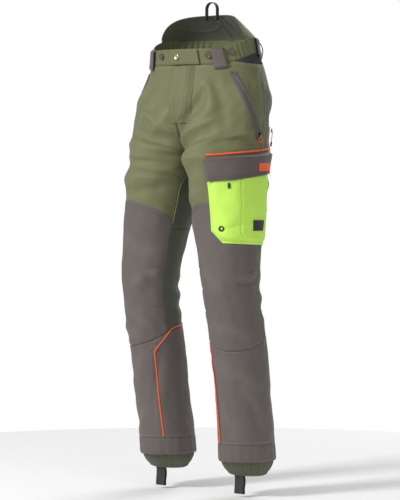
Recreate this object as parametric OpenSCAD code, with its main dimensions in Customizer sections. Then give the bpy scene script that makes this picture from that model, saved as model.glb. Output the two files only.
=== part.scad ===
// Chainsaw protective trousers in their worn shape: sewn panels, protective pads, zips and hardware.
// Millimetres. The wearer faces -Y, +X is the wearer's left and +Z is up.
// The origin is the middle of the waist, level with the top of the waistband at the fly.

/* [Trousers] */
// Height of the crotch below the waistband's top
rise = 270; // [262:1:278]
// Height of the hem below the waistband's top
outseam = 1030; // [1015:1:1045]
// Height of the knee's bending line below the waistband's top
knee_drop = 622; // [610:1:634]
// Thickness of the outer cloth
cloth = 2.4; // [1.6:0.1:2.8]
// Thickness of the cut-protection pad in each leg
pad = 5.6; // [4:0.2:6]

/* [Waist] */
// Height of the waistband
band_h = 40; // [34:1:44]
// How much higher the waistband sits at the back than at the fly
back_rise = 30; // [22:1:34]
// Height of the kidney panel above the waistband
kidney_h = 62; // [50:1:72]
// How far the top of the kidney panel leans forward
kidney_lean = 70; // [50:1:80]
// Diameter of the waist snap's cap
snap_d = 15; // [13:0.5:17]
// Width of a belt loop
loop_w = 20; // [16:1:24]
// Depth of the slot behind a belt loop
loop_gap = 6.5; // [6:0.5:8]

/* [Cargo pocket] */
// Depth of the pocket's hollow
pocket_gap = 8; // [7:0.5:9]
// Height of the flap
flap_h = 62; // [56:1:68]
// Outer diameter of the eyelet
eyelet_d = 15; // [13:0.5:17]
// Diameter of the eyelet's hole
eyelet_hole_d = 6; // [5:0.5:7]

/* [Cuffs] */
// Height of the sewn hem band
hem_h = 44; // [38:1:50]
// Width of the boot strap under each gaiter
strap_w = 28; // [24:1:32]
// Length of boot strap that hangs below the gaiter
strap_l = 50; // [42:1:56]

/* [Hidden] */
$fn = 32;

olive = [0.42, 0.44, 0.27];
dark_olive = [0.24, 0.27, 0.16];
taupe = [0.40, 0.36, 0.33];
neon = [0.70, 0.95, 0.25];
orange = [0.93, 0.32, 0.14];
black = [0.07, 0.07, 0.08];
navy = [0.14, 0.14, 0.22];
white = [0.85, 0.85, 0.82];
metal = [0.72, 0.68, 0.58];

left = 1;
right = -1;
seam = 0.4;
crotch_z = -rise;
knee_z = -knee_drop;
hem_z = -outseam;
hem_top = hem_z + hem_h;
hip_top = -190;
hip_bottom = -292;
inseam_u = 0.003;
side_u = 0.5;
lining_d = -cloth - pad - 1.4;
lining = 1.2;

// --- Body shape -------------------------------------------------------------------------------

// Driving sections, lowest first: [height, value], joined by a smooth curve.
leg_x = [[-1100, 130], [-1010, 131], [-890, 134], [-600, 133], [-505, 125], [-404, 113], [crotch_z, 92]];
leg_a = [[-1100, 66], [-1010, 66], [-890, 64], [-747, 66], [-607, 67], [-505, 74], [-404, 83], [crotch_z, 92]];
leg_b = [[-1100, 80], [-1010, 79], [-890, 77], [-747, 76], [-607, 76], [-505, 84], [-404, 98], [crotch_z, 121]];
mid_y = [[-1100, 20], [-1010, 14], [-890, -2], [-760, -20], [-660, -40], [-580, -52], [-505, -47],
         [-404, -36], [crotch_z, -24], [-124, 2], [-48, 11], [0, 4], [120, 4]];
hip_a = [[crotch_z, 184], [-200, 187], [-124, 181], [-48, 160], [0, 146], [120, 142]];
belly = [[crotch_z, 132], [-200, 128], [-124, 120], [-48, 108], [0, 106], [120, 104]];
seat = [[crotch_z, 148], [-200, 152], [-124, 146], [-48, 126], [0, 116], [120, 110]];

function segment(rows, z, i = 0) = i >= len(rows) - 2 || z < rows[i + 1][0] ? i : segment(rows, z, i + 1);
function slope(rows, i) = (rows[i + 1][1] - rows[i][1]) / (rows[i + 1][0] - rows[i][0]);
function tangent(rows, i) =
    i == 0 ? slope(rows, 0) :
    i == len(rows) - 1 ? slope(rows, i - 1) :
    (slope(rows, i - 1) + slope(rows, i)) / 2;
function hermite(p, q, m, n, h, t) =
    p * (1 + 2 * t) * pow(1 - t, 2) + h * m * t * pow(1 - t, 2)
    + q * t * t * (3 - 2 * t) + h * n * t * t * (t - 1);
function curve(rows, z) =
    let (
        c = max(rows[0][0], min(rows[len(rows) - 1][0], z)),
        i = segment(rows, c),
        h = rows[i + 1][0] - rows[i][0])
    hermite(rows[i][1], rows[i + 1][1], tangent(rows, i), tangent(rows, i + 1), h, (c - rows[i][0]) / h);

function mix(a, b, t) = a * (1 - t) + b * t;
function clamp(t) = max(0, min(1, t));
function ease(t) = let (c = clamp(t)) c * c * (3 - 2 * c);

// One side of the trousers. Below the crotch u runs once round the leg, from the inseam over the
// front, the outer side and the back. Above it u runs from the centre front to the centre back.
function opened(z) = pow(1 - pow(1 - clamp((z - crotch_z) / rise), 3.2), 0.8);
function leg_loop(u, z) = [
    curve(leg_x, z) - curve(leg_a, z) * cos(360 * u),
    -curve(leg_b, z) * sin(360 * u)];
function hip_arc(u, z) = [
    curve(hip_a, z) * sin(180 * u),
    -(u < 0.5 ? curve(belly, z) : curve(seat, z)) * cos(180 * u)];
function body(u, z) =
    let (flat = mix(leg_loop(u, min(z, crotch_z)), hip_arc(u, max(z, crotch_z)), opened(z)))
    [flat[0], flat[1] + curve(mid_y, z), z];
function unit(v) = v / norm(v);
function outward(u, z) = unit(cross(body(u + 0.004, z) - body(u - 0.004, z), body(u, z + 2) - body(u, z - 2)));
// A point of the cloth, d outside the body shape, kept on its own side of the middle.
function skin(u, z, d) =
    let (p = body(u, z) + d * outward(u, z))
    [z > hip_bottom ? max(seam, p[0]) : p[0], p[1], p[2]];

// The waist as one loop: w is 0 at the fly, 1 at the centre back, and -w is the wearer's right.
function fold(w) = let (v = w - 2 * floor(w / 2)) v <= 1 ? v : 2 - v;
function on_right(w) = w - 2 * floor(w / 2) > 1;
function waist(w, z, d) =
    let (q = body(fold(w), z) + d * outward(fold(w), z))
    [on_right(w) ? -q[0] : q[0], q[1], q[2]];

// --- Seam lines -------------------------------------------------------------------------------

function band_top(w) = back_rise * ease((fold(w) - 0.2) / 0.4);
function band_low(w) = band_top(w) - band_h;
function stretch_drop(u) = u < 11 / 32 || u > 27 / 32 ? 0 : 27 * sin(180 * (u - 11 / 32) / (16 / 32));
function panel_top(u) = band_low(u) - stretch_drop(u) - 2 * seam;
function from_front(u) = 360 * (u > 0.75 ? u - 1 : u) - 90;
function overlay_top(u) = -376 - 62 * pow((from_front(u) - 30) / 110, 2);
function knee_seam(u) = -750 + 39 * pow((from_front(u) - 25) / 95, 2);
knee_back_top = knee_z + 62;
knee_back_low = knee_z - 86;
function calf_top(u) =
    u > 0.9 ? mix(knee_back_low, knee_seam(inseam_u), ease((u - 0.9) / 0.1)) :
    u < 0.6 ? mix(knee_seam(side_u), knee_back_low, ease((u - 0.5) / 0.1)) :
    knee_back_low;

// --- Sheet solids -----------------------------------------------------------------------------

function grid_faces(n, m, start, flip) = [
    for (i = [0:n - 1], j = [0:m - 1])
        let (a = start + i * (m + 1) + j, b = a + 1, c = a + m + 2, e = a + m + 1)
        each (flip ? [[a, b, c], [a, c, e]] : [[a, c, b], [a, e, c]])];
function rim(n, m) = concat(
    [for (j = [0:m]) j],
    [for (i = [1:n]) i * (m + 1) + m],
    [for (j = [m - 1:-1:0]) n * (m + 1) + j],
    [for (i = [n - 1:-1:1]) i * (m + 1)]);

// A patch of cloth between an outer and an inner layer, each a function of s and t from 0 to 1.
module sheet(outer, inner, n, m) {
    count = (n + 1) * (m + 1);
    points = concat(
        [for (i = [0:n], j = [0:m]) outer(i / n, j / m)],
        [for (i = [0:n], j = [0:m]) inner(i / n, j / m)]);
    loop = rim(n, m);
    walls = [
        for (k = [0:len(loop) - 1])
            let (a = loop[k], b = loop[(k + 1) % len(loop)])
            each [[a, b, b + count], [a, b + count, a + count]]];
    polyhedron(points = points, faces = concat(grid_faces(n, m, 0, false), grid_faces(n, m, count, true), walls));
}

// A sheet on one side's skin. u0, u1, lo, hi, din and dout are functions that shape its edges.
module patch(u0, u1, lo, hi, din, dout, n, m) {
    sheet(
        function (s, t) let (u = mix(u0, u1, s)) skin(u, mix(lo(u), hi(u), t), dout),
        function (s, t) let (u = mix(u0, u1, s)) skin(u, mix(lo(u), hi(u), t), din),
        n, m);
}

// A sleeve between two stacks of rings, open at both ends.
module sleeve(outer, inner, n, m) {
    count = n * (m + 1);
    function at(i, j, layer) = layer * count + j * n + i % n;
    points = concat(
        [for (j = [0:m], i = [0:n - 1]) outer(i / n, j / m)],
        [for (j = [0:m], i = [0:n - 1]) inner(i / n, j / m)]);
    sides = [
        for (i = [0:n - 1], j = [0:m - 1]) each [
            [at(i, j, 0), at(i + 1, j + 1, 0), at(i + 1, j, 0)], [at(i, j, 0), at(i, j + 1, 0), at(i + 1, j + 1, 0)],
            [at(i, j, 1), at(i + 1, j, 1), at(i + 1, j + 1, 1)], [at(i, j, 1), at(i + 1, j + 1, 1), at(i, j + 1, 1)]]];
    ends = [
        for (i = [0:n - 1]) each [
            [at(i, m, 0), at(i + 1, m, 1), at(i + 1, m, 0)], [at(i, m, 0), at(i, m, 1), at(i + 1, m, 1)],
            [at(i, 0, 0), at(i + 1, 0, 0), at(i + 1, 0, 1)], [at(i, 0, 0), at(i + 1, 0, 1), at(i, 0, 1)]]];
    polyhedron(points = points, faces = concat(sides, ends));
}

// A round cord of the given radius along a list of points.
module cord(path, r, sides) {
    n = len(path);
    function along(i) = unit(path[min(n - 1, i + 1)] - path[max(0, i - 1)]);
    function across(i) = let (d = along(i)) unit(cross(d, abs(d[2]) < 0.8 ? [0, 0, 1] : [1, 0, 0]));
    function ring_point(i, k) =
        let (d = along(i), a = across(i), b = cross(d, a), q = 360 * k / sides)
        path[i] + r * (a * cos(q) + b * sin(q));
    points = [for (i = [0:n - 1], k = [0:sides - 1]) ring_point(i, k)];
    function at(i, k) = i * sides + k % sides;
    skin_faces = [
        for (i = [0:n - 2], k = [0:sides - 1]) each [
            [at(i, k), at(i, k + 1), at(i + 1, k + 1)], [at(i, k), at(i + 1, k + 1), at(i + 1, k)]]];
    caps = [
        for (k = [1:sides - 2]) each [
            [at(0, 0), at(0, k + 1), at(0, k)], [at(n - 1, 0), at(n - 1, k), at(n - 1, k + 1)]]];
    polyhedron(points = points, faces = concat(skin_faces, caps));
}

module placed(side) {
    if (side == left) children(); else mirror([1, 0, 0]) children();
}

// Puts children on the skin: their +Z points outward and their +X points down.
module on_skin(u, z, d = 0) {
    n = outward(u, z);
    translate(body(u, z) + d * n) rotate([0, acos(n[2]), atan2(n[1], n[0])]) children();
}

// --- Waist ------------------------------------------------------------------------------------

module waistband() {
    color(olive) sleeve(
        function (s, t) waist(2 * s, mix(band_low(2 * s), band_top(2 * s), t), 0),
        function (s, t) waist(2 * s, mix(band_low(2 * s), band_top(2 * s), t), -cloth - 0.8),
        64, 1);
}

tab_end = -0.055;
tab_root = 0.13;
tab_d = 2.4;
snap_z = -band_h / 2;
tab_margin = 1;

// Strip on the waist loop from w0 to w1, standing din to dout off the body.
module strip(w0, w1, lo, hi, din, dout, n, m) {
    sheet(
        function (s, t) let (w = mix(w0, w1, s)) waist(w, mix(lo(w), hi(w), t), dout),
        function (s, t) let (w = mix(w0, w1, s)) waist(w, mix(lo(w), hi(w), t), din),
        n, m);
}

module waist_tab() {
    color(olive) difference() {
        strip(tab_end, tab_root,
            function (w) band_low(w) + tab_margin, function (w) band_top(w) - tab_margin,
            tab_d, tab_d + cloth, 10, 1);
        snap_axis() translate([0, 0, -1]) cylinder(d = snap_post_d + 0.1, h = 12);
    }
}

snap_post_d = 6;
snap_stud_d = 4;
snap_clearance = 0.5;
cap_gap = 1.2;
stud_base = 0.7;
stud_top = 3.1;
snap_y = body(0, snap_z)[1];
module snap_axis() {
    translate([0, snap_y, snap_z]) rotate([90, 0, 0]) children();
}

module waist_snap_cap() {
    color(metal) snap_axis() difference() {
        union() {
            translate([0, 0, tab_d + cloth + cap_gap]) cylinder(d1 = snap_d, d2 = snap_d - 3, h = 1.6);
            translate([0, 0, stud_top - 1.4]) cylinder(d = snap_post_d, h = tab_d + cloth + cap_gap - stud_top + 1.6);
        }
        cylinder(d = snap_stud_d + snap_clearance, h = stud_top + 0.3);
    }
}

module waist_snap_stud() {
    color(metal) snap_axis() translate([0, 0, stud_base]) {
        cylinder(d = snap_post_d + 2, h = 0.6);
        cylinder(d = snap_stud_d, h = stud_top - stud_base);
    }
}

// Brace buttons: [side, u, drop below the band's top].
buttons = [[left, 0.19, 16], [left, 0.335, 16], [right, 0.283, 16], [right, 0.13, 16]];
module brace_buttons() {
    color(black) for (b = buttons) placed(b[0]) on_skin(b[1], band_top(b[1]) - b[2], 0.6) difference() {
        union() {
            cylinder(d = 8, h = 1.6);
            translate([0, 0, 1.6]) cylinder(d = 17, h = 2.2);
        }
        translate([0, 0, 2.8]) cylinder(d = 11, h = 2);
    }
}

loop_places = [0.25, 0.62, 1, 1.38, 1.75];
loop_over = 6;
module belt_loops() {
    color(taupe) for (w = loop_places) {
        half = loop_w / 2 / 260;
        rise_of = function (t) loop_gap * ease(min(t, 1 - t) * 7);
        height = function (q, t) mix(band_low(q) - loop_over, band_top(q) - 2, t);
        sheet(
            function (s, t) let (q = mix(w - half, w + half, s)) waist(q, height(q, t), 0.6 + cloth + rise_of(t)),
            function (s, t) let (q = mix(w - half, w + half, s)) waist(q, height(q, t), 0.6 + rise_of(t)),
            2, 9);
    }
}

// A webbing tail for taking the waist in lies on the wearer's right side of the band, and a thin
// elastic cord loops out of the band at each side.
cord_r = 1.2;
function side_cord(side) = [
    for (i = [0:16])
        let (t = i / 16, w = side == left ? 0.72 : -0.44, drop = side == left ? 4 + 50 * t : 16 + 56 * t)
        waist(w, band_top(w) - drop, 2.6 + 11 * sin(180 * t))];
module side_ties() {
    color(black) {
        strip(-0.52, -0.34, function (w) band_top(w) - 24, function (w) band_top(w) - 12, 1, 2.6, 10, 1);
        for (side = [left, right]) cord(side_cord(side), cord_r, 6);
    }
}

kidney_half = 0.52;
function kidney_height(s) = kidney_h * pow(1 - pow(abs(2 * s - 1), 3), 0.8);
function kidney_point(s, t, d) =
    let (
        w = 1 + kidney_half * (2 * s - 1),
        base = waist(w, band_top(w) + 0.8 + kidney_height(s) * t, d),
        k = kidney_height(s) / kidney_h * t)
    [base[0] * (1 - 0.22 * k), base[1] - kidney_lean * pow(k, 1.3), base[2]];
module kidney_layer(d) {
    sheet(
        function (s, t) kidney_point(mix(0.02, 0.98, s), mix(0, 1, t), d),
        function (s, t) kidney_point(mix(0.02, 0.98, s), mix(0, 1, t), d - cloth / 2),
        28, 6);
}
module kidney_panel() { color(olive) kidney_layer(0); }
module kidney_lining() { color(dark_olive) kidney_layer(-cloth / 2 - 0.5); }

// Webbing loop standing on the middle of the kidney panel.
hang_w = 38;
hang_h = 34;
hang_t = 1.6;
hang_strap = 11;
hang_forward = 8;
module hanging_loop() {
    top = kidney_point(0.5, 1, -2.6);
    color(black) translate([0, top[1] - hang_forward, top[2] - 12]) rotate([90, 0, 0]) linear_extrude(hang_strap, center = true)
        difference() {
            hang_outline(hang_w / 2);
            hang_outline(hang_w / 2 - hang_t);
            translate([-hang_w, -1]) square([2 * hang_w, 1.01]);
        }
}
module hang_outline(r) {
    translate([0, hang_h - hang_w / 2 + 12]) circle(r = r);
    translate([-r, -0.5]) square([2 * r, hang_h - hang_w / 2 + 12.5]);
}

module stretch_panels() {
    color(navy) for (side = [left, right]) placed(side) patch(
        11.6 / 32, 26.4 / 32,
        function (u) panel_top(u) + 2 * seam,
        function (u) band_low(u) - seam,
        -cloth, 0, 14, 2);
}

// --- Trunk ------------------------------------------------------------------------------------

module yoke(side) {
    color(olive) placed(side) patch(
        inseam_u, side_u - 0.001, function (u) hip_top + seam, function (u) panel_top(u), -cloth, 0, 16, 6);
}
module seat_panel(side) {
    color(dark_olive) placed(side) patch(
        side_u + 0.001, 1 - inseam_u, function (u) hip_top + seam, function (u) panel_top(u), -cloth, 0, 16, 6);
}
module yoke_left() { yoke(left); }
module yoke_right() { yoke(right); }
module seat_left() { seat_panel(left); }
module seat_right() { seat_panel(right); }

lining_low = -184;
module seat_lining() {
    color(dark_olive) sleeve(
        function (s, t) waist(2 * s, mix(lining_low, band_low(2 * s) - 4, t), lining_d),
        function (s, t) waist(2 * s, mix(lining_low, band_low(2 * s) - 4, t), lining_d - lining),
        32, 3);
}

fly_top = -band_h - 3;
fly_low = -186;
fly_d = 7.2;
// The placket is sewn down along the wearer's left and stands off to make room for the zip.
module fly_placket() {
    lift = function (s) 0.5 + fly_d * ease((1 - s) * 5);
    across = function (s) mix(-0.03, 0.1, s);
    color(olive) sheet(
        function (s, t) waist(across(s), mix(fly_low, fly_top, t), lift(s) + cloth / 2),
        function (s, t) waist(across(s), mix(fly_low, fly_top, t), lift(s)),
        10, 5);
}
module fly_zip() {
    color(black) strip(-0.018, 0.018, function (w) fly_low + 2, function (w) fly_top - 1, 0.4, 1.6, 2, 6);
}
fly_start = [0, body(0, -52)[1], -52];
fly_tilt = atan(0.2);
fly_slider_d = 3.2;
module fly_slider() {
    color(metal) translate(fly_start) rotate([-fly_tilt, 0, 0]) translate([0, -fly_slider_d, 0]) {
        translate([-4, -2.2, -5]) cube([8, 2.2, 10]);
        translate([-2, -3.4, -18]) cube([4, 1.4, 17]);
    }
}

// Slanted hand pocket mouth, from the belt down to the outer side.
function mouth_u(t) = 0.315 + 0.2 * pow(t, 1.1);
function mouth_z(t) = -62 - 156 * t;
mouth_count = 16;
module pocket_welts() {
    color(taupe) for (side = [left, right], shift = [-1, 1]) placed(side)
        cord([for (i = [0:mouth_count]) let (t = i / mouth_count) skin(mouth_u(t) + shift * 0.012, mouth_z(t), 1.9)],
            1.5, 6);
}
module pocket_bags() {
    color(black) for (side = [left, right]) placed(side) patch(
        0.2, 0.44, function (u) -178, function (u) -80, -cloth - 3, -cloth - 0.6, 8, 4);
}
hand_rest = 0.97;
hand_slider_d = 4.8;
module hand_slider() {
    t = hand_rest;
    color(black) on_skin(mouth_u(t), mouth_z(t), hand_slider_d) translate([-5, -3, 0]) cube([10, 6, 2.4]);
    color(orange) on_skin(mouth_u(t), mouth_z(t), hand_slider_d + 2.6) translate([13, 0, 0]) difference() {
        cylinder(d = 15, h = 1.6);
        translate([0, 0, -1]) cylinder(d = 10, h = 4);
    }
}
module hand_slider_left() { hand_slider(); }
module hand_slider_right() { placed(right) hand_slider(); }

// --- Legs -------------------------------------------------------------------------------------

module hip_cloth(side) {
    color(olive) placed(side) patch(
        inseam_u, 1 - inseam_u, function (u) hip_bottom + seam, function (u) hip_top - seam, -cloth, 0, 32, 5);
}
module hip_cloth_left() { hip_cloth(left); }
module hip_cloth_right() { hip_cloth(right); }

module thigh_front(side) {
    color(olive) placed(side) patch(
        inseam_u, side_u - 0.001, function (u) overlay_top(u) + seam, function (u) hip_bottom - seam, -cloth, 0, 16, 4);
}
module thigh_front_left() { thigh_front(left); }
module thigh_front_right() { thigh_front(right); }

module thigh_back(side) {
    color(dark_olive) placed(side) patch(
        side_u + 0.001, 1 - inseam_u, function (u) knee_back_top + seam, function (u) hip_bottom - seam,
        -cloth, 0, 16, 8);
}
module thigh_back_left() { thigh_back(left); }
module thigh_back_right() { thigh_back(right); }

module knee_overlay(side) {
    color(taupe) placed(side) patch(
        inseam_u, side_u - 0.001, function (u) knee_seam(u) + seam, function (u) overlay_top(u) - seam,
        -cloth, 0, 16, 12);
}
module knee_overlay_left() { knee_overlay(left); }
module knee_overlay_right() { knee_overlay(right); }

module knee_back(side) {
    color(dark_olive) placed(side) patch(
        side_u + 0.001, 1 - inseam_u, function (u) calf_top(u) + seam, function (u) knee_back_top - seam,
        -cloth, 0, 16, 5);
}
module knee_back_left() { knee_back(left); }
module knee_back_right() { knee_back(right); }

// The pad covers the front of the leg from the groin to the hem.
module cut_pad(side) {
    color(white) placed(side) patch(
        0.02, 0.54, function (u) hem_top + 12, function (u) hip_bottom - 6, -cloth - pad - 0.6, -cloth - 0.6, 12, 18);
}
module cut_pad_left() { cut_pad(left); }
module cut_pad_right() { cut_pad(right); }

module leg_lining(side) {
    color(dark_olive) placed(side) sleeve(
        function (s, t) skin(s, mix(hem_top + 2, hip_bottom - 2, t), lining_d),
        function (s, t) skin(s, mix(hem_top + 2, hip_bottom - 2, t), lining_d - lining),
        16, 14);
}
module leg_lining_left() { leg_lining(left); }
module leg_lining_right() { leg_lining(right); }

vent_top = -194;
vent_low = -440;
// The vent runs straight down behind the side seam, so its u changes where the two sides part.
function vent_u(z) = 0.625 + 0.035 * clamp((z - crotch_z) / 70);
module vent_zip(side) {
    place = function (s, t, d) let (z = mix(vent_low, vent_top, t)) skin(vent_u(z) + mix(-0.013, 0.013, s), z, d);
    color(orange) placed(side) sheet(
        function (s, t) place(s, t, 1.6),
        function (s, t) place(s, t, 0.4),
        2, 16);
}
module vent_zip_left() { vent_zip(left); }
module vent_zip_right() { vent_zip(right); }
vent_rest = -202;
vent_slider_d = 4.8;
module vent_slider(side) {
    color(black) placed(side) on_skin(vent_u(vent_rest), vent_rest, vent_slider_d) {
        translate([-5, -3, 0]) cube([10, 6, 2.4]);
        translate([0, 0, 3.6]) rotate([0, 90, 0]) cylinder(d = 2.2, h = 30);
        translate([29, 0, 3.6]) rotate([0, 90, 0]) cylinder(d = 5, h = 12);
    }
}
module vent_slider_left() { vent_slider(left); }
module vent_slider_right() { vent_slider(right); }

// --- Cargo pocket on the wearer's left thigh ----------------------------------------------------

cargo_u0 = 0.3;
cargo_u1 = 0.595;
cargo_base = 0.5;
function piping_z(u) = -267 + 18 * (u - cargo_u0) / (cargo_u1 - cargo_u0);
function pocket_low(u) = -480 - 9 * (u - cargo_u0) / (cargo_u1 - cargo_u0);
pocket_top_drop = 18;
corner_cut = 30;
corner_u = 0.055;

module cargo_piping() {
    color(orange) cord([for (i = [0:18]) let (u = mix(cargo_u0, cargo_u1, i / 18)) skin(u, piping_z(u), 3.4)], 2.8, 8);
}

// Fullness of the pocket: sewn flat along its sides and bottom, open along its top.
function fullness(s, t) = ease(min(s, 1 - s) * 9) * ease(t * 12);
function pocket_u(s, t) = mix(cargo_u0 + (1 - t) * -0.02 + corner_u * max(0, 1 - t * 7), cargo_u1, s);
function pocket_point(s, t, d) =
    let (u = pocket_u(s, t))
    skin(u, mix(pocket_low(u), piping_z(u) - pocket_top_drop, t), cargo_base + pocket_gap * fullness(s, t) + d);
module cargo_pocket() {
    color(neon) sheet(
        function (s, t) pocket_point(s, t, cloth),
        function (s, t) pocket_point(s, t, 0),
        18, 12);
}
pocket_front = cargo_base + pocket_gap + cloth;
flap_d = pocket_front + 1.5;
flap_top_drop = 15;
root_gap = 2;
function flap_top(u) = piping_z(u) - flap_top_drop;
function flap_low(u) = piping_z(u) - 5 - flap_h + 8 * abs((u - 0.4) / 0.25);

// The turned cloth that joins the flap's plate to the thigh and bends as the flap opens.
module flap_root() {
    place = function (s, t, d)
        let (u = mix(cargo_u0, cargo_u1, s))
        skin(u, mix(flap_top(u) + root_gap, piping_z(u) - 3.6, t), mix(flap_d, cargo_base, ease(t)) + d);
    color(taupe) sheet(
        function (s, t) place(s, t, cloth),
        function (s, t) place(s, t, 0),
        14, 3);
}
module cargo_flap() {
    color(taupe) patch(cargo_u0, cargo_u1, function (u) flap_low(u), function (u) flap_top(u), flap_d, flap_d + cloth, 14, 4);
}
module flap_label() {
    color(orange) patch(0.5, 0.585, function (u) -306, function (u) -286, flap_d + cloth + 0.3, flap_d + cloth + 1.1, 6, 1);
}
module cargo_eyelet() {
    color(black) on_skin(0.335, -446, pocket_front + 0.8) difference() {
        union() {
            cylinder(d = eyelet_d, h = 1.6);
            translate([0, 0, 1.6]) cylinder(d1 = eyelet_d, d2 = eyelet_d - 3, h = 0.8);
        }
        translate([0, 0, -1]) cylinder(d = eyelet_hole_d, h = 6);
    }
}
module cargo_badge() {
    color(navy) patch(0.475, 0.54, function (u) -452, function (u) -426,
        pocket_front + 0.3, pocket_front + 1.1, 4, 1);
}

// --- Lower legs ---------------------------------------------------------------------------------

module shin_panel(side) {
    color(taupe) placed(side) patch(
        inseam_u, side_u - 0.001, function (u) hem_top + seam, function (u) knee_seam(u) - seam, -cloth, 0, 16, 7);
}
module shin_panel_left() { shin_panel(left); }
module shin_panel_right() { shin_panel(right); }

module calf_panel(side) {
    color(taupe) placed(side) patch(
        side_u + 0.001, 1 - inseam_u, function (u) hem_top + seam, function (u) calf_top(u) - seam, -cloth, 0, 16, 7);
}
module calf_panel_left() { calf_panel(left); }
module calf_panel_right() { calf_panel(right); }

piping_r = 1.5;
module shin_piping(side) {
    color(orange) placed(side) cord([
        for (i = [0:16])
            let (t = i / 16, u = mix(0.148, 0.17, t))
            skin(u, mix(knee_seam(0.148) - 4, hem_top + 3, t), 1.9)], piping_r, 6);
}
module shin_piping_left() { shin_piping(left); }
module shin_piping_right() { shin_piping(right); }

module hem_band(side) {
    color(taupe) placed(side) sleeve(
        function (s, t) skin(s, mix(hem_z, hem_top - seam, t), 0),
        function (s, t) skin(s, mix(hem_z, hem_top - seam, t), -cloth - 1.2),
        32, 1);
}
module hem_band_left() { hem_band(left); }
module hem_band_right() { hem_band(right); }

gaiter_top = hem_z + 14;
gaiter_low = hem_z - 38;
function gaiter_ring(s, t, d) =
    let (z = mix(gaiter_low, gaiter_top, t), a = mix(42, 60, pow(t, 0.7)) + d, b = mix(32, 70, pow(t, 0.7)) + d)
    [curve(leg_x, z) - a * cos(360 * s), curve(mid_y, z) - b * sin(360 * s), z];
module gaiter(side) {
    color(dark_olive) placed(side) sleeve(
        function (s, t) gaiter_ring(s, t, 0),
        function (s, t) gaiter_ring(s, t, -2),
        28, 4);
}
module gaiter_left() { gaiter(left); }
module gaiter_right() { gaiter(right); }

// The boot strap is a doubled webbing that hangs from the front of the gaiter's lower edge.
strap_t = 1.8;
strap_gap = 5;
strap_pivot = gaiter_ring(0.25, 0, 0) + [0, 1, -0.5 - strap_gap / 2 - strap_t];
module boot_strap(side) {
    outer_r = strap_gap / 2 + strap_t;
    color(black) placed(side) translate(strap_pivot) rotate([90, 0, 90]) linear_extrude(strap_w, center = true)
        difference() {
            strap_outline(outer_r);
            strap_outline(strap_gap / 2);
        }
}
module strap_outline(r) {
    hull() {
        circle(r = r);
        translate([0, strap_gap + 2 * strap_t - strap_l]) circle(r = r);
    }
}
module boot_strap_left() { boot_strap(left); }
module boot_strap_right() { boot_strap(right); }

waistband();
waist_tab();
waist_snap_cap();
waist_snap_stud();
brace_buttons();
belt_loops();
side_ties();
kidney_panel();
kidney_lining();
hanging_loop();
stretch_panels();
yoke_left();
yoke_right();
seat_left();
seat_right();
seat_lining();
fly_placket();
fly_zip();
fly_slider();
pocket_welts();
pocket_bags();
hand_slider_left();
hand_slider_right();
hip_cloth_left();
hip_cloth_right();
thigh_front_left();
thigh_front_right();
thigh_back_left();
thigh_back_right();
knee_overlay_left();
knee_overlay_right();
knee_back_left();
knee_back_right();
cut_pad_left();
cut_pad_right();
leg_lining_left();
leg_lining_right();
vent_zip_left();
vent_zip_right();
vent_slider_left();
vent_slider_right();
cargo_piping();
cargo_pocket();
cargo_eyelet();
cargo_badge();
flap_root();
cargo_flap();
flap_label();
shin_panel_left();
shin_panel_right();
calf_panel_left();
calf_panel_right();
shin_piping_left();
shin_piping_right();
hem_band_left();
hem_band_right();
gaiter_left();
gaiter_right();
boot_strap_left();
boot_strap_right();
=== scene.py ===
"""Chainsaw protective trousers, worn shape: the cloth, trims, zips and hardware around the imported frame.

Lengths are in millimetres wherever a name ends in _mm, and in metres elsewhere.
The wearer faces -Y, +X is the wearer's left and +Z is up.
"""
import logging
import math
from dataclasses import dataclass, field
from enum import Enum
from typing import Callable, Sequence

import bpy
import numpy as np
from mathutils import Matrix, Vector


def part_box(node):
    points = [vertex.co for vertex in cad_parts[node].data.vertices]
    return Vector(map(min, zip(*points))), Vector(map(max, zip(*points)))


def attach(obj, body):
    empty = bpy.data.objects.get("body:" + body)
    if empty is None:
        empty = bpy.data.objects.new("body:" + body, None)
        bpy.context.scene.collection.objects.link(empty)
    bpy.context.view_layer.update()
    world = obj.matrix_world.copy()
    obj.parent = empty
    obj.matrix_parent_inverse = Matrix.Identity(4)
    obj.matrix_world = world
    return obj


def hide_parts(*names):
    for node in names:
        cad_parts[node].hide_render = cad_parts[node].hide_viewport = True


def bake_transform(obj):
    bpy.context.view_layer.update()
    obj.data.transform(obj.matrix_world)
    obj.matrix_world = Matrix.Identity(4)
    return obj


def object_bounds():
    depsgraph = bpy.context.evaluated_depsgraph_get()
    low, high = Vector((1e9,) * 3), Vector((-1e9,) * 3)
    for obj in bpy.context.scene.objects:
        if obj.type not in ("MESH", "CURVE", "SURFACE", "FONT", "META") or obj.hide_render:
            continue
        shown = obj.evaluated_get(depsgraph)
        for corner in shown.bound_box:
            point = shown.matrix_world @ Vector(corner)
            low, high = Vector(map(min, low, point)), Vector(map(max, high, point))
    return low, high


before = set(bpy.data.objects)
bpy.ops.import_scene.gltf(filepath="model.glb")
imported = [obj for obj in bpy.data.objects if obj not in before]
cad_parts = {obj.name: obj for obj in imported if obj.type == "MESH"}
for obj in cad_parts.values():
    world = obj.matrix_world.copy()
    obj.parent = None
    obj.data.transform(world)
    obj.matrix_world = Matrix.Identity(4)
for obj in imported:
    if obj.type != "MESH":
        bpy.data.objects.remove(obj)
CAD_BOX = [list(corner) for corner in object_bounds()]

logging.basicConfig(level=logging.INFO, format="%(message)s")
log = logging.getLogger("trousers")

MM = 0.001
Array = np.ndarray
Curve = Callable[[Array], Array]


class Side(Enum):
    """The wearer's two sides, as the sign of X."""

    LEFT = 1
    RIGHT = -1

    @property
    def tag(self) -> str:
        """The side's name as the frame writes it."""
        return self.name.lower()


# --- Small maths ----------------------------------------------------------------------------


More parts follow.
